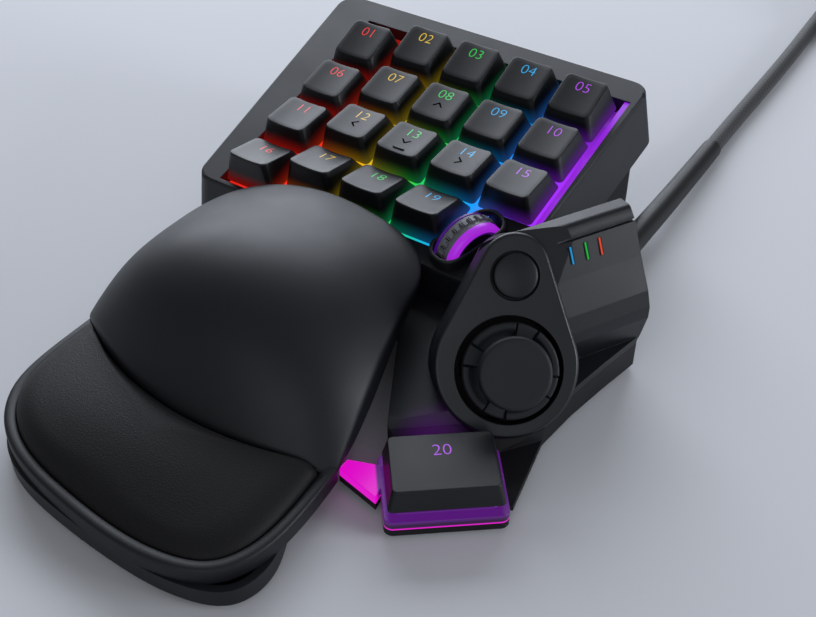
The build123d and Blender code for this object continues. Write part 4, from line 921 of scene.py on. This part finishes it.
def seam_cutter():
    """The bar that cuts the parting line into the housing's slope, in the row frame."""
    down = SLOPE_OUT * math.cos(SLOPE) - Vector((0.0, 0.0, math.sin(SLOPE)))
    facing = SLOPE_OUT * math.sin(SLOPE) + Vector((0.0, 0.0, math.cos(SLOPE)))
    centre = (middle_of("indicator_green") - down * SEAM_RISE * MM
              + facing * (LAMP_SINK + (SEAM_OVER - SEAM_DEEP) / 2) * MM)
    turn = Matrix((down.cross(facing), down, facing)).transposed().to_4x4()
    size = Matrix.Diagonal((SEAM_LONG * MM, SEAM_WIDE * MM, (SEAM_DEEP + SEAM_OVER) * MM, 1.0))
    mesh = bpy.data.meshes.new("seam_cutter")
    bm = bmesh.new()
    bmesh.ops.create_cube(bm, size=1.0, matrix=Matrix.Translation(centre) @ turn @ size)
    bm.to_mesh(mesh)
    bm.free()
    return placed("seam_cutter", mesh)


softened("top_shell", 0.45, CASE_PAINTED_SPILL, "case")
softened("bottom_shell", 0.4, BASE_PAINTED_SPILL, "case")
# The housing's turned side is drawn in facets, so even its low edges are rounded
softened("thumb_housing", 1.0, HOUSING, "case", seam_cutter(), 9.0)
softened("thumb_fascia", 0.35, FASCIA, "case")
softened("thumb_key", 0.3, CAP, "bar_key")
softened("thumb_key_base", 0.35, MAGENTA, "case")
softened("palm_rest_base", 0.35, CASE, "palm_rest")
THUMB_KEY_MARK, THUMB_MARK_RISE = (63.7, -90.9), 0.03
points, polys = lettering("20", LEGEND_SIZE)
piece("thumb_key_legend", ([(x, y, THUMB_MARK_RISE) for x, y, z in points], polys),
      Matrix.Translation((*THUMB_KEY_MARK, THUMB_KEY_TOP)) @ Matrix.Rotation(THUMB_KEY_YAW, 4, "Z"),
      "bar_key", [LEGENDS[4]], 35.0)
plug = softened("usb_plug_body", 0.5, PLUG, "case")
plug_shell = softened("usb_plug_shell", 0.1, SHELL_STEEL, "case")

# The wheel, on an axle below the plate. From left to right: a lit ring, the tyre, a wider lit ring.
WHEEL_PLACE, WHEEL_YAW, WHEEL_SINK = (34.8, -32.8), math.radians(-20.0), -9.9
WHEEL_RADIUS, TYRE_WALL, TYRE_WIDTH, LIT_LEFT, LIT_RIGHT, LIT_RADIUS = 10.8, 2.2, 4.9, 0.9, 2.5, 10.2
SPINDLE, CORE_RADIUS = 1.55, 7.4
WHEEL = PLATE @ Matrix.Translation((*WHEEL_PLACE, 0)) @ Matrix.Rotation(WHEEL_YAW, 4, "Z")
AXLE = WHEEL @ Matrix.Translation((0, 0, WHEEL_SINK)) @ Matrix.Rotation(math.radians(90), 4, "Y")
WHEEL_RIGHT = (LIT_LEFT + TYRE_WIDTH + LIT_RIGHT) / 2
WHEEL_LEFT = -WHEEL_RIGHT
TYRE_LEFT = WHEEL_LEFT + LIT_LEFT
TYRE_RIGHT = TYRE_LEFT + TYRE_WIDTH
# The rim round the wheel's opening. Each ring is drawn in by so much, with its corner, at its height.
BEZEL_WIDTH, BEZEL_LENGTH, BEZEL_WALL, BEZEL_LOW, BEZEL_TOP = 11.8, 24.8, 1.2, -7.0, -3.6
BEZEL_RINGS = ((0.0, 4.6, BEZEL_LOW), (0.0, 5.4, BEZEL_TOP - 0.55), (0.12, 5.4, BEZEL_TOP - 0.2),
               (0.4, 5.2, BEZEL_TOP), (BEZEL_WALL - 0.35, 4.6, BEZEL_TOP),
               (BEZEL_WALL - 0.08, 4.4, BEZEL_TOP - 0.2), (BEZEL_WALL, 4.2, BEZEL_TOP - 0.55),
               (BEZEL_WALL, 1.8, BEZEL_LOW))
# Key 19 stands beside it as far forward as this, and the rim keeps this far from the key's side
NEIGHBOUR_FRONT, NEIGHBOUR_GAP, NEIGHBOUR_SHARE = -38.2, 0.4, 0.6


def bezel():
    """A raised bead round the wheel's opening, flattened where key 19 stands beside it."""
    place = Matrix.Translation((*WHEEL_PLACE, 0)) @ Matrix.Rotation(WHEEL_YAW, 4, "Z")
    rings = []
    for inset, corner, height in BEZEL_RINGS:
        narrowing = (height + KEY_HEIGHT) / KEY_HEIGHT * (KEY_BASE - KEY_TOP[0]) / 2
        nearest = KEY_PITCH + KEY_BASE / 2 - narrowing + NEIGHBOUR_GAP + inset * NEIGHBOUR_SHARE
        ring = []
        for x, y in rounded(BEZEL_WIDTH - 2 * inset, BEZEL_LENGTH - 2 * inset, corner, 8, 6):
            spot = place @ Vector((x, y, height))
            if spot.y > NEIGHBOUR_FRONT:
                spot.x = max(spot.x, nearest)
            ring.append(tuple(spot))
        rings.append(ring)
    return skin(rings, looped=True)


# The inputs of the tread, in metres: its ribs, and the studs in each groove between them
TREAD_INPUTS = (("Ribs", "Int", 24), ("Ring radius", "Float", 9.75 * MM), ("Rib height", "Float", 2.0 * MM),
                ("Rib width", "Float", 1.3 * MM), ("Rib length", "Float", TYRE_WIDTH * MM),
                ("Studs in a groove", "Int", 4), ("Stud size", "Vector", (0.6 * MM, 1.7 * MM, 0.5 * MM)),
                ("First stud", "Vector", (-1.75 * MM, 0.0, 1.276 * MM)),
                ("Last stud", "Vector", (1.75 * MM, 0.0, 1.276 * MM)))
TYRE_SINK, TYRE_BEVEL, RIB_BOW, RIB_CLEAR, RIB_FIT = 0.75, 0.3, 0.028, 0.02, 0.999


def tread_tree():
    """Ribs across a tyre, with a row of studs beside each, at even places round the axle."""
    tree = bpy.data.node_groups.new("tyre_tread", "GeometryNodeTree")
    for name, kind, value in TREAD_INPUTS:
        socket = tree.interface.new_socket(name, in_out="INPUT", socket_type="NodeSocket" + kind)
        socket.default_value = value
    tree.interface.new_socket("Geometry", in_out="OUTPUT", socket_type="NodeSocketGeometry")
    given = add_node(tree, "NodeGroupInput", {}).outputs
    ring = add_node(tree, "GeometryNodeCurvePrimitiveCircle", {"Radius": given["Ring radius"]})
    spots = add_node(tree, "GeometryNodeCurveToPoints", {
        "Curve": ring.outputs["Curve"], "Count": given["Ribs"]})
    size = add_node(tree, "ShaderNodeCombineXYZ", {
        "X": given["Rib length"], "Y": given["Rib height"], "Z": given["Rib width"]})
    rib = add_node(tree, "GeometryNodeMeshCube", {
        "Size": size.outputs["Vector"], "Vertices X": 3, "Vertices Y": 3, "Vertices Z": 5})
    stud = add_node(tree, "GeometryNodeMeshCube", {"Size": given["Stud size"]})
    row = add_node(tree, "GeometryNodeMeshLine", {
        "Count": given["Studs in a groove"], "Start Location": given["First stud"],
        "Offset": given["Last stud"]}, mode="END_POINTS")
    studs = add_node(tree, "GeometryNodeInstanceOnPoints", {
        "Points": row.outputs["Mesh"], "Instance": stud.outputs["Mesh"]})
    unit = add_node(tree, "GeometryNodeJoinGeometry", {"Geometry": rib.outputs["Mesh"]})
    feed(tree, unit, {"Geometry": studs.outputs["Instances"]})
    round_axle = add_node(tree, "GeometryNodeInstanceOnPoints", {
        "Points": spots.outputs["Points"], "Instance": unit.outputs["Geometry"],
        "Rotation": spots.outputs["Rotation"]})
    real = add_node(tree, "GeometryNodeRealizeInstances", {"Geometry": round_axle.outputs["Instances"]})
    rubber = add_node(tree, "GeometryNodeSetMaterial", {
        "Geometry": real.outputs["Geometry"], "Material": TYRE})
    add_node(tree, "NodeGroupOutput", {"Geometry": rubber.outputs["Geometry"]})
    return tree


def tyre():
    """The tyre: a smooth band with the ribs on it, a little lower at their ends, in the axle's own frame."""
    holder = placed("tread", bpy.data.meshes.new("tread"))
    holder.modifiers.new("tread", "NODES").node_group = tread_tree()
    ribs = evaluated_mesh(holder)
    bpy.data.objects.remove(holder)
    inner, outer = WHEEL_RADIUS - TYRE_WALL, WHEEL_RADIUS - TYRE_SINK
    band = lathe([(inner, TYRE_LEFT), (outer - TYRE_BEVEL, TYRE_LEFT), (outer, TYRE_LEFT + TYRE_BEVEL),
                  (outer, TYRE_RIGHT - TYRE_BEVEL), (outer - TYRE_BEVEL, TYRE_RIGHT), (inner, TYRE_RIGHT)])
    points = []
    for v in [vertex.co / MM for vertex in ribs.vertices]:
        crown = math.hypot(v.x, v.y)
        share = min(1.0, (WHEEL_RADIUS - RIB_CLEAR) / crown)
        if crown > outer:
            share *= 1.0 - RIB_BOW * (abs(v.z) / (TYRE_WIDTH / 2)) ** 3
        points.append((v.x * share, v.y * share, (TYRE_LEFT + TYRE_RIGHT) / 2 + v.z * RIB_FIT))
    polys = [tuple(p.vertices) for p in ribs.polygons]
    bpy.data.meshes.remove(ribs)
    return joined([band, (points, polys)])


# The hub: a dark core, with a rounded lit ring at each side of the tyre. A kind is a face's material, and
# only the first bands of the right ring, its outside, are bright.
LIT_BANDS = 5
CORE = [(SPINDLE, WHEEL_LEFT + 0.1), (CORE_RADIUS, WHEEL_LEFT + 0.1), (CORE_RADIUS, TYRE_LEFT),
        (WHEEL_RADIUS - TYRE_WALL, TYRE_LEFT), (WHEEL_RADIUS - TYRE_WALL, TYRE_RIGHT),
        (CORE_RADIUS, TYRE_RIGHT), (CORE_RADIUS, WHEEL_RIGHT - 0.9), (SPINDLE, WHEEL_RIGHT - 0.9)]
LEFT_RING = [(CORE_RADIUS, TYRE_LEFT), (CORE_RADIUS, WHEEL_LEFT), (LIT_RADIUS - 0.3, WHEEL_LEFT),
             (LIT_RADIUS, WHEEL_LEFT + 0.3), (LIT_RADIUS, TYRE_LEFT)]
RIGHT_RING = [(CORE_RADIUS, TYRE_RIGHT), (LIT_RADIUS, TYRE_RIGHT), (LIT_RADIUS, WHEEL_RIGHT - 1.3),
              (LIT_RADIUS - 0.35, WHEEL_RIGHT - 0.5), (LIT_RADIUS - 1.0, WHEEL_RIGHT - 0.05),
              (LIT_RADIUS - 1.7, WHEEL_RIGHT), (CORE_RADIUS + 0.3, WHEEL_RIGHT - 0.3),
              (CORE_RADIUS, WHEEL_RIGHT - 0.9)]


def hub():
    """The hub's shape and the kind of each of its faces."""
    shapes = [lathe(CORE), lathe(LEFT_RING), lathe(RIGHT_RING)]
    core, left, right = (len(polys) for points, polys in shapes)
    bright = right * LIT_BANDS // len(RIGHT_RING)
    return joined(shapes), [0] * core + [2] * left + [1] * bright + [2] * (right - bright)


piece("wheel_bezel_detailed", bezel(), PLATE, "case", [CASE], 40.0, ("wheel_bezel",))
piece("wheel_tyre_detailed", tyre(), AXLE, "wheel", [TYRE], 30.0, ("wheel_tyre",))
shape, kinds = hub()
piece("wheel_hub_detailed", shape, AXLE, "wheel", [INNER, PINK, VIOLET_DIM], 40.0,
      ("wheel_hub",), kinds)

# The thumb module's face, turned and tipped towards the thumb
FASCIA_PLACE, FASCIA_THICK = (66.9, -62.6, 22.1), 2.0
FASCIA_YAW, FASCIA_TIP = math.radians(39.0), math.radians(52.0)
THUMB = (Matrix.Translation(FASCIA_PLACE) @ Matrix.Rotation(FASCIA_YAW, 4, "Z")
         @ Matrix.Rotation(FASCIA_TIP, 4, "X"))
# The eight-way ring: its stalk and pins, then the lips that stand up on four of its sectors
RING_RADIUS, RING_LOW, RING_TOP, PIVOT, STALK, KNUCKLE, STALK_TOP = 12.9, -1.2, 1.2, -7.0, 3.4, 3.0, 8.75
PIN_RADIUS, PIN_HALF, RING_STEPS = 1.0, 9.4, 720
LIP_RISE, LIP_SWEEP, LIP_TURN, LIP_START, LIP_RUN, LIP_FOOT = 1.5, 62.0, 20.0, 9.8, 1.3, 0.1
FLAT_RISE, FLAT_START, FLAT_RUN, CUT_HALF = 0.95, 7.2, 1.0, 1.6
EDGE_START, EDGE_RUN, EDGE_DROP = 12.3, 0.6, 0.5
RING_STATIONS = (3.4, 5.0, 6.6, 7.6, 8.2, 8.8, 9.6, 10.4, 10.8, 11.2, 11.6, 12.0, 12.3, 12.55, 12.75, 12.87)
RING_UNDER = ((STALK, RING_LOW), (12.5, RING_LOW), (RING_RADIUS, RING_LOW + 0.4), (RING_RADIUS, 0.6))


def eased(share):
    """A share from 0 to 1 that starts and ends gently."""
    share = min(max(share, 0.0), 1.0)
    return share * share * (3 - 2 * share)


def ring_height(radius, degrees):
    """The top of the eight-way ring: four lipped sectors, with flat ones and fine cuts between them."""
    turn = (degrees - LIP_TURN + 45.0) % 90.0 - 45.0
    edge = LIP_SWEEP / 2 - abs(turn)
    if edge > 0:
        top = LIP_FOOT + (LIP_RISE - LIP_FOOT) * eased((radius - LIP_START) / LIP_RUN)
    else:
        top = FLAT_RISE * eased((radius - FLAT_START) / FLAT_RUN)
    fall = max(0.0, radius - EDGE_START) / EDGE_RUN
    return RING_TOP + top * eased(abs(edge) / CUT_HALF) - EDGE_DROP * fall ** 2


def direction_pad():
    """The eight-way ring on the stalk that carries the stick's cap, with its pins through the gimbal."""
    rings = [circle(radius, height, RING_STEPS) for radius, height in RING_UNDER]
    for radius in reversed(RING_STATIONS):
        rings.append([(x, y, ring_height(radius, 360 * i / RING_STEPS))
                      for i, (x, y, z) in enumerate(circle(radius, 0.0, RING_STEPS))])
    stalk = lathe([(AXIS, PIVOT - KNUCKLE), (STALK, PIVOT - KNUCKLE), (STALK, STALK_TOP),
                   (AXIS, STALK_TOP)], 48)
    pin, polys = lathe([(AXIS, -PIN_HALF), (PIN_RADIUS, -PIN_HALF), (PIN_RADIUS, PIN_HALF),
                        (AXIS, PIN_HALF)], 32)
    return joined([skin(rings, looped=True), stalk, ([(x, -z, PIVOT + y) for x, y, z in pin], polys)])


# The stick's cap, from its socket on the stalk, round its edge, to its dished top
CAP_RADIUS, CAP_TOP, CAP_LOW = 9.7, 10.5, 7.1
CAP_PROFILE = [(AXIS, CAP_TOP - 1.7), (STALK, CAP_TOP - 1.7), (STALK, CAP_LOW), (9.2, CAP_LOW),
               (9.6, CAP_LOW + 0.3), (CAP_RADIUS, CAP_LOW + 0.8), (CAP_RADIUS, CAP_TOP - 1.2),
               (9.6, CAP_TOP - 0.7), (9.35, CAP_TOP - 0.3), (9.0, CAP_TOP - 0.08), (8.6, CAP_TOP),
               (7.0, CAP_TOP - 0.12), (5.0, CAP_TOP - 0.3), (2.5, CAP_TOP - 0.42), (AXIS, CAP_TOP - 0.46)]
# The round button, from its stem in the inner frame, round the flange under the fascia, to its domed top
BUTTON_PLACE, BUTTON_RADIUS, BUTTON_PROUD, BUTTON_DOME = (3.1, 24.8), 5.9, 1.6, 0.7
BUTTON_FLANGE, FLANGE_THICK, BUTTON_STEM, FRAME_LOW = 6.95, 1.0, 2.0, -13.6
BALL = (BUTTON_RADIUS ** 2 + BUTTON_DOME ** 2) / (2 * BUTTON_DOME)
FLANGE_LOW = -FASCIA_THICK - FLANGE_THICK
BUTTON_PROFILE = [(AXIS, FRAME_LOW), (BUTTON_STEM, FRAME_LOW), (BUTTON_STEM, FLANGE_LOW),
                  (BUTTON_FLANGE, FLANGE_LOW), (BUTTON_FLANGE, -FASCIA_THICK),
                  (BUTTON_RADIUS, -FASCIA_THICK), (BUTTON_RADIUS, 0.55), (BUTTON_RADIUS - 0.1, 0.8),
                  (BUTTON_RADIUS - 0.2, 0.9)]
BUTTON_PROFILE += [(radius, BUTTON_PROUD - BALL + math.sqrt(BALL ** 2 - radius ** 2))
                   for radius in (5.55, 5.0, 4.0, 3.0, 2.0, 1.0, AXIS)]

piece("direction_pad_detailed", direction_pad(), THUMB, "stick", [STICK], 50.0,
      ("direction_pad",))
piece("thumb_stick_cap_detailed", lathe(CAP_PROFILE, 128), THUMB, "stick", [STICK], 40.0,
      ("thumb_stick_cap",))
piece("thumb_button_detailed", lathe(BUTTON_PROFILE, 128), THUMB @ Matrix.Translation((*BUTTON_PLACE, 0)),
      "button", [BUTTON], 40.0, ("thumb_button",))

# Pieces that show as the part draws them, with their real material
PLAIN_PIECES = {"key_deck": DECK, "dome_sheet": SILICONE, "key_circuit_board": BOARD, "case_screws": STEEL,
                "light_band": VIOLET, "rubber_feet": FOOT, "wheel_axle": STEEL, "wheel_carriage": INNER,
                "thumb_frame": INNER, "gimbal_ring": INNER, "indicator_blue": LAMP_BLUE,
                "indicator_green": LAMP_GREEN, "indicator_red": LAMP_RED, "palm_screws": STEEL,
                "palm_feet": FOOT}
PLAIN_CREASE = 30.0
for node, material in PLAIN_PIECES.items():
    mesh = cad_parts[node].data
    mesh.materials.clear()
    mesh.materials.append(material)
    shade(mesh, PLAIN_CREASE)

# The cable's route: out of the case in its sleeve, down to the floor, and back to the coil
CABLE_DIAMETER, CABLE_LENGTH = 6.0, 1.704
SLEEVE_POINTS = ((64.2, -5.0, 8.9), (64.2, 20.0, 8.9), (63.6, 58.0, 5.9), (62.6, 94.0, 3.9))
SLEEVE_RADIUS, SLEEVE_SHARES = 4.1, (1.0, 0.97, 0.91, 0.855)
CABLE_POINTS = ((62.1, 112.0, 2.95), (62.5, 138.0, 3.05), (62.8, 176.0, 3.05), (61.8, 218.0, 3.05))
TAIL_POINTS = ((62.0, 260.0, 9.75), (67.0, 277.0, 5.6), (81.0, 290.5, 3.8), (99.0, 295.0, 3.8))
COIL_CENTRE, COIL_OUTER, COIL_STEP, COIL_TURNS, COIL_REST = (107.8, 242.0), 45.4, 6.7, 3.25, 3.05
POINTS_A_TURN = 24


def coil_point(angle):
    """The wound cable's centre: inwards on the floor layer, over, and outwards on the layer above."""
    inward = COIL_TURNS * 2 * math.pi
    slope = COIL_STEP / (2 * math.pi)
    inner = COIL_OUTER - slope * inward
    if angle <= inward:
        radius, height = COIL_OUTER - slope * angle, 0
    elif angle <= inward + math.pi:
        share = (angle - inward) / math.pi
        radius = inner - slope * math.pi * share * (1 - share)
        height = COIL_STEP * share * share * (3 - 2 * share)
    else:
        radius, height = inner + slope * (angle - inward - math.pi), COIL_STEP
    turn = math.pi - angle
    return (COIL_CENTRE[0] + radius * math.cos(turn), COIL_CENTRE[1] + radius * math.sin(turn),
            COIL_REST + height)


def tube(name, points, radius, material, steps, shares=None):
    """A round cord along a smooth open line whose bends follow the given points."""
    curve = bpy.data.curves.new(name, "CURVE")
    curve.dimensions = "3D"
    curve.bevel_depth = radius * MM
    curve.bevel_resolution = 5
    curve.resolution_u = steps
    curve.use_fill_caps = True
    spline = curve.splines.new("NURBS")
    spline.points.add(len(points) - 1)
    for point, place, share in zip(spline.points, points, shares or [1.0] * len(points)):
        point.co = (*(TO_ROW @ Vector(place)), 1.0)
        point.radius = share
    spline.order_u = 3
    spline.use_endpoint_u = True
    curve.materials.append(material)
    obj = placed(name, curve)
    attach(obj, "case")
    return obj


sleeve = tube("cable_sleeve_detailed", SLEEVE_POINTS, SLEEVE_RADIUS, SLEEVE, 24, SLEEVE_SHARES)
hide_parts("cable_sleeve")
coil_spans = int((2 * COIL_TURNS + 0.5) * POINTS_A_TURN)
route = [SLEEVE_POINTS[-1], *CABLE_POINTS]
route += [coil_point(2 * math.pi * i / POINTS_A_TURN) for i in range(coil_spans + 1)]
route += TAIL_POINTS
cable = tube("cable_detailed", route, CABLE_DIAMETER / 2, BRAID, 6)
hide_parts("cable", "cable_coil", "cable_tail")

# The studio, in metres: each light's place, where it points, its size, its power and its colour
LIGHTS = (("rear_key", (-0.7, 1.1, 0.86), (0.0, 0.0, 0.02), (1.4, 0.8), 18.0, "EEF4FF"),
          ("low_rim", (-1.0, 0.95, 0.3), (-0.05, 0.0, 0.06), (1.0, 0.3), 5.0, "EEF4FF"),
          ("right_strip", (1.0, 0.3, 0.3), (0.05, -0.02, 0.05), (0.4, 0.35), 4.5, "F2F6FF"),
          ("front_fill", (0.5, -1.3, 0.8), (0.0, 0.0, 0.02), (1.4, 1.0), 4.0, "F4F7FF"))
FLOOR_HALF, SKY_COLOUR, SKY_STRENGTH = 3.0, "E8EAEE", 0.25
CAMERA_PLACE, CAMERA_YAW, CAMERA_TIP = (0.158853, -0.216849, 0.241656), 33.0775, 49.1153
CAMERA_LENS, CAMERA_SENSOR, CAMERA_NEAR = 52.94, 36.0, 0.01


def floor():
    """A wide pale painted floor, dull enough to show a soft shadow and no reflection."""
    mesh = bpy.data.meshes.new("floor")
    mesh.from_pydata([(x * FLOOR_HALF, y * FLOOR_HALF, 0) for x, y in ((-1, -1), (1, -1), (1, 1), (-1, 1))],
                     [], [(0, 1, 2, 3)])
    mesh.materials.append(new_material("floor_pale", {"Base Color": linear("D8DADE"), "Roughness": 0.7})[0])
    return placed("floor", mesh)


def area_light(name, place, target, size, power, colour):
    data = bpy.data.lights.new(name, "AREA")
    data.shape = "RECTANGLE"
    data.size, data.size_y = size
    data.energy = power
    data.color = linear(colour)[:3]
    obj = placed(name, data)
    obj.location = place
    obj.rotation_euler = (Vector(target) - Vector(place)).to_track_quat("-Z", "Y").to_euler()
    return obj


floor()
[area_light(*light) for light in LIGHTS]
scene.world = bpy.data.worlds.new("studio")
scene.world.use_nodes = True
feed(scene.world.node_tree, scene.world.node_tree.nodes["Background"],
     {"Color": linear(SKY_COLOUR), "Strength": SKY_STRENGTH})

camera_data = bpy.data.cameras.new("photo_camera")
camera_data.lens = CAMERA_LENS
camera_data.sensor_width = CAMERA_SENSOR
camera_data.clip_start = CAMERA_NEAR
camera = placed("photo_camera", camera_data)
camera.matrix_world = (Matrix.Translation(CAMERA_PLACE) @ Matrix.Rotation(math.radians(CAMERA_YAW), 4, "Z")
                       @ Matrix.Rotation(math.radians(CAMERA_TIP), 4, "X"))
scene.camera = camera
scene.view_settings.view_transform = "Standard"
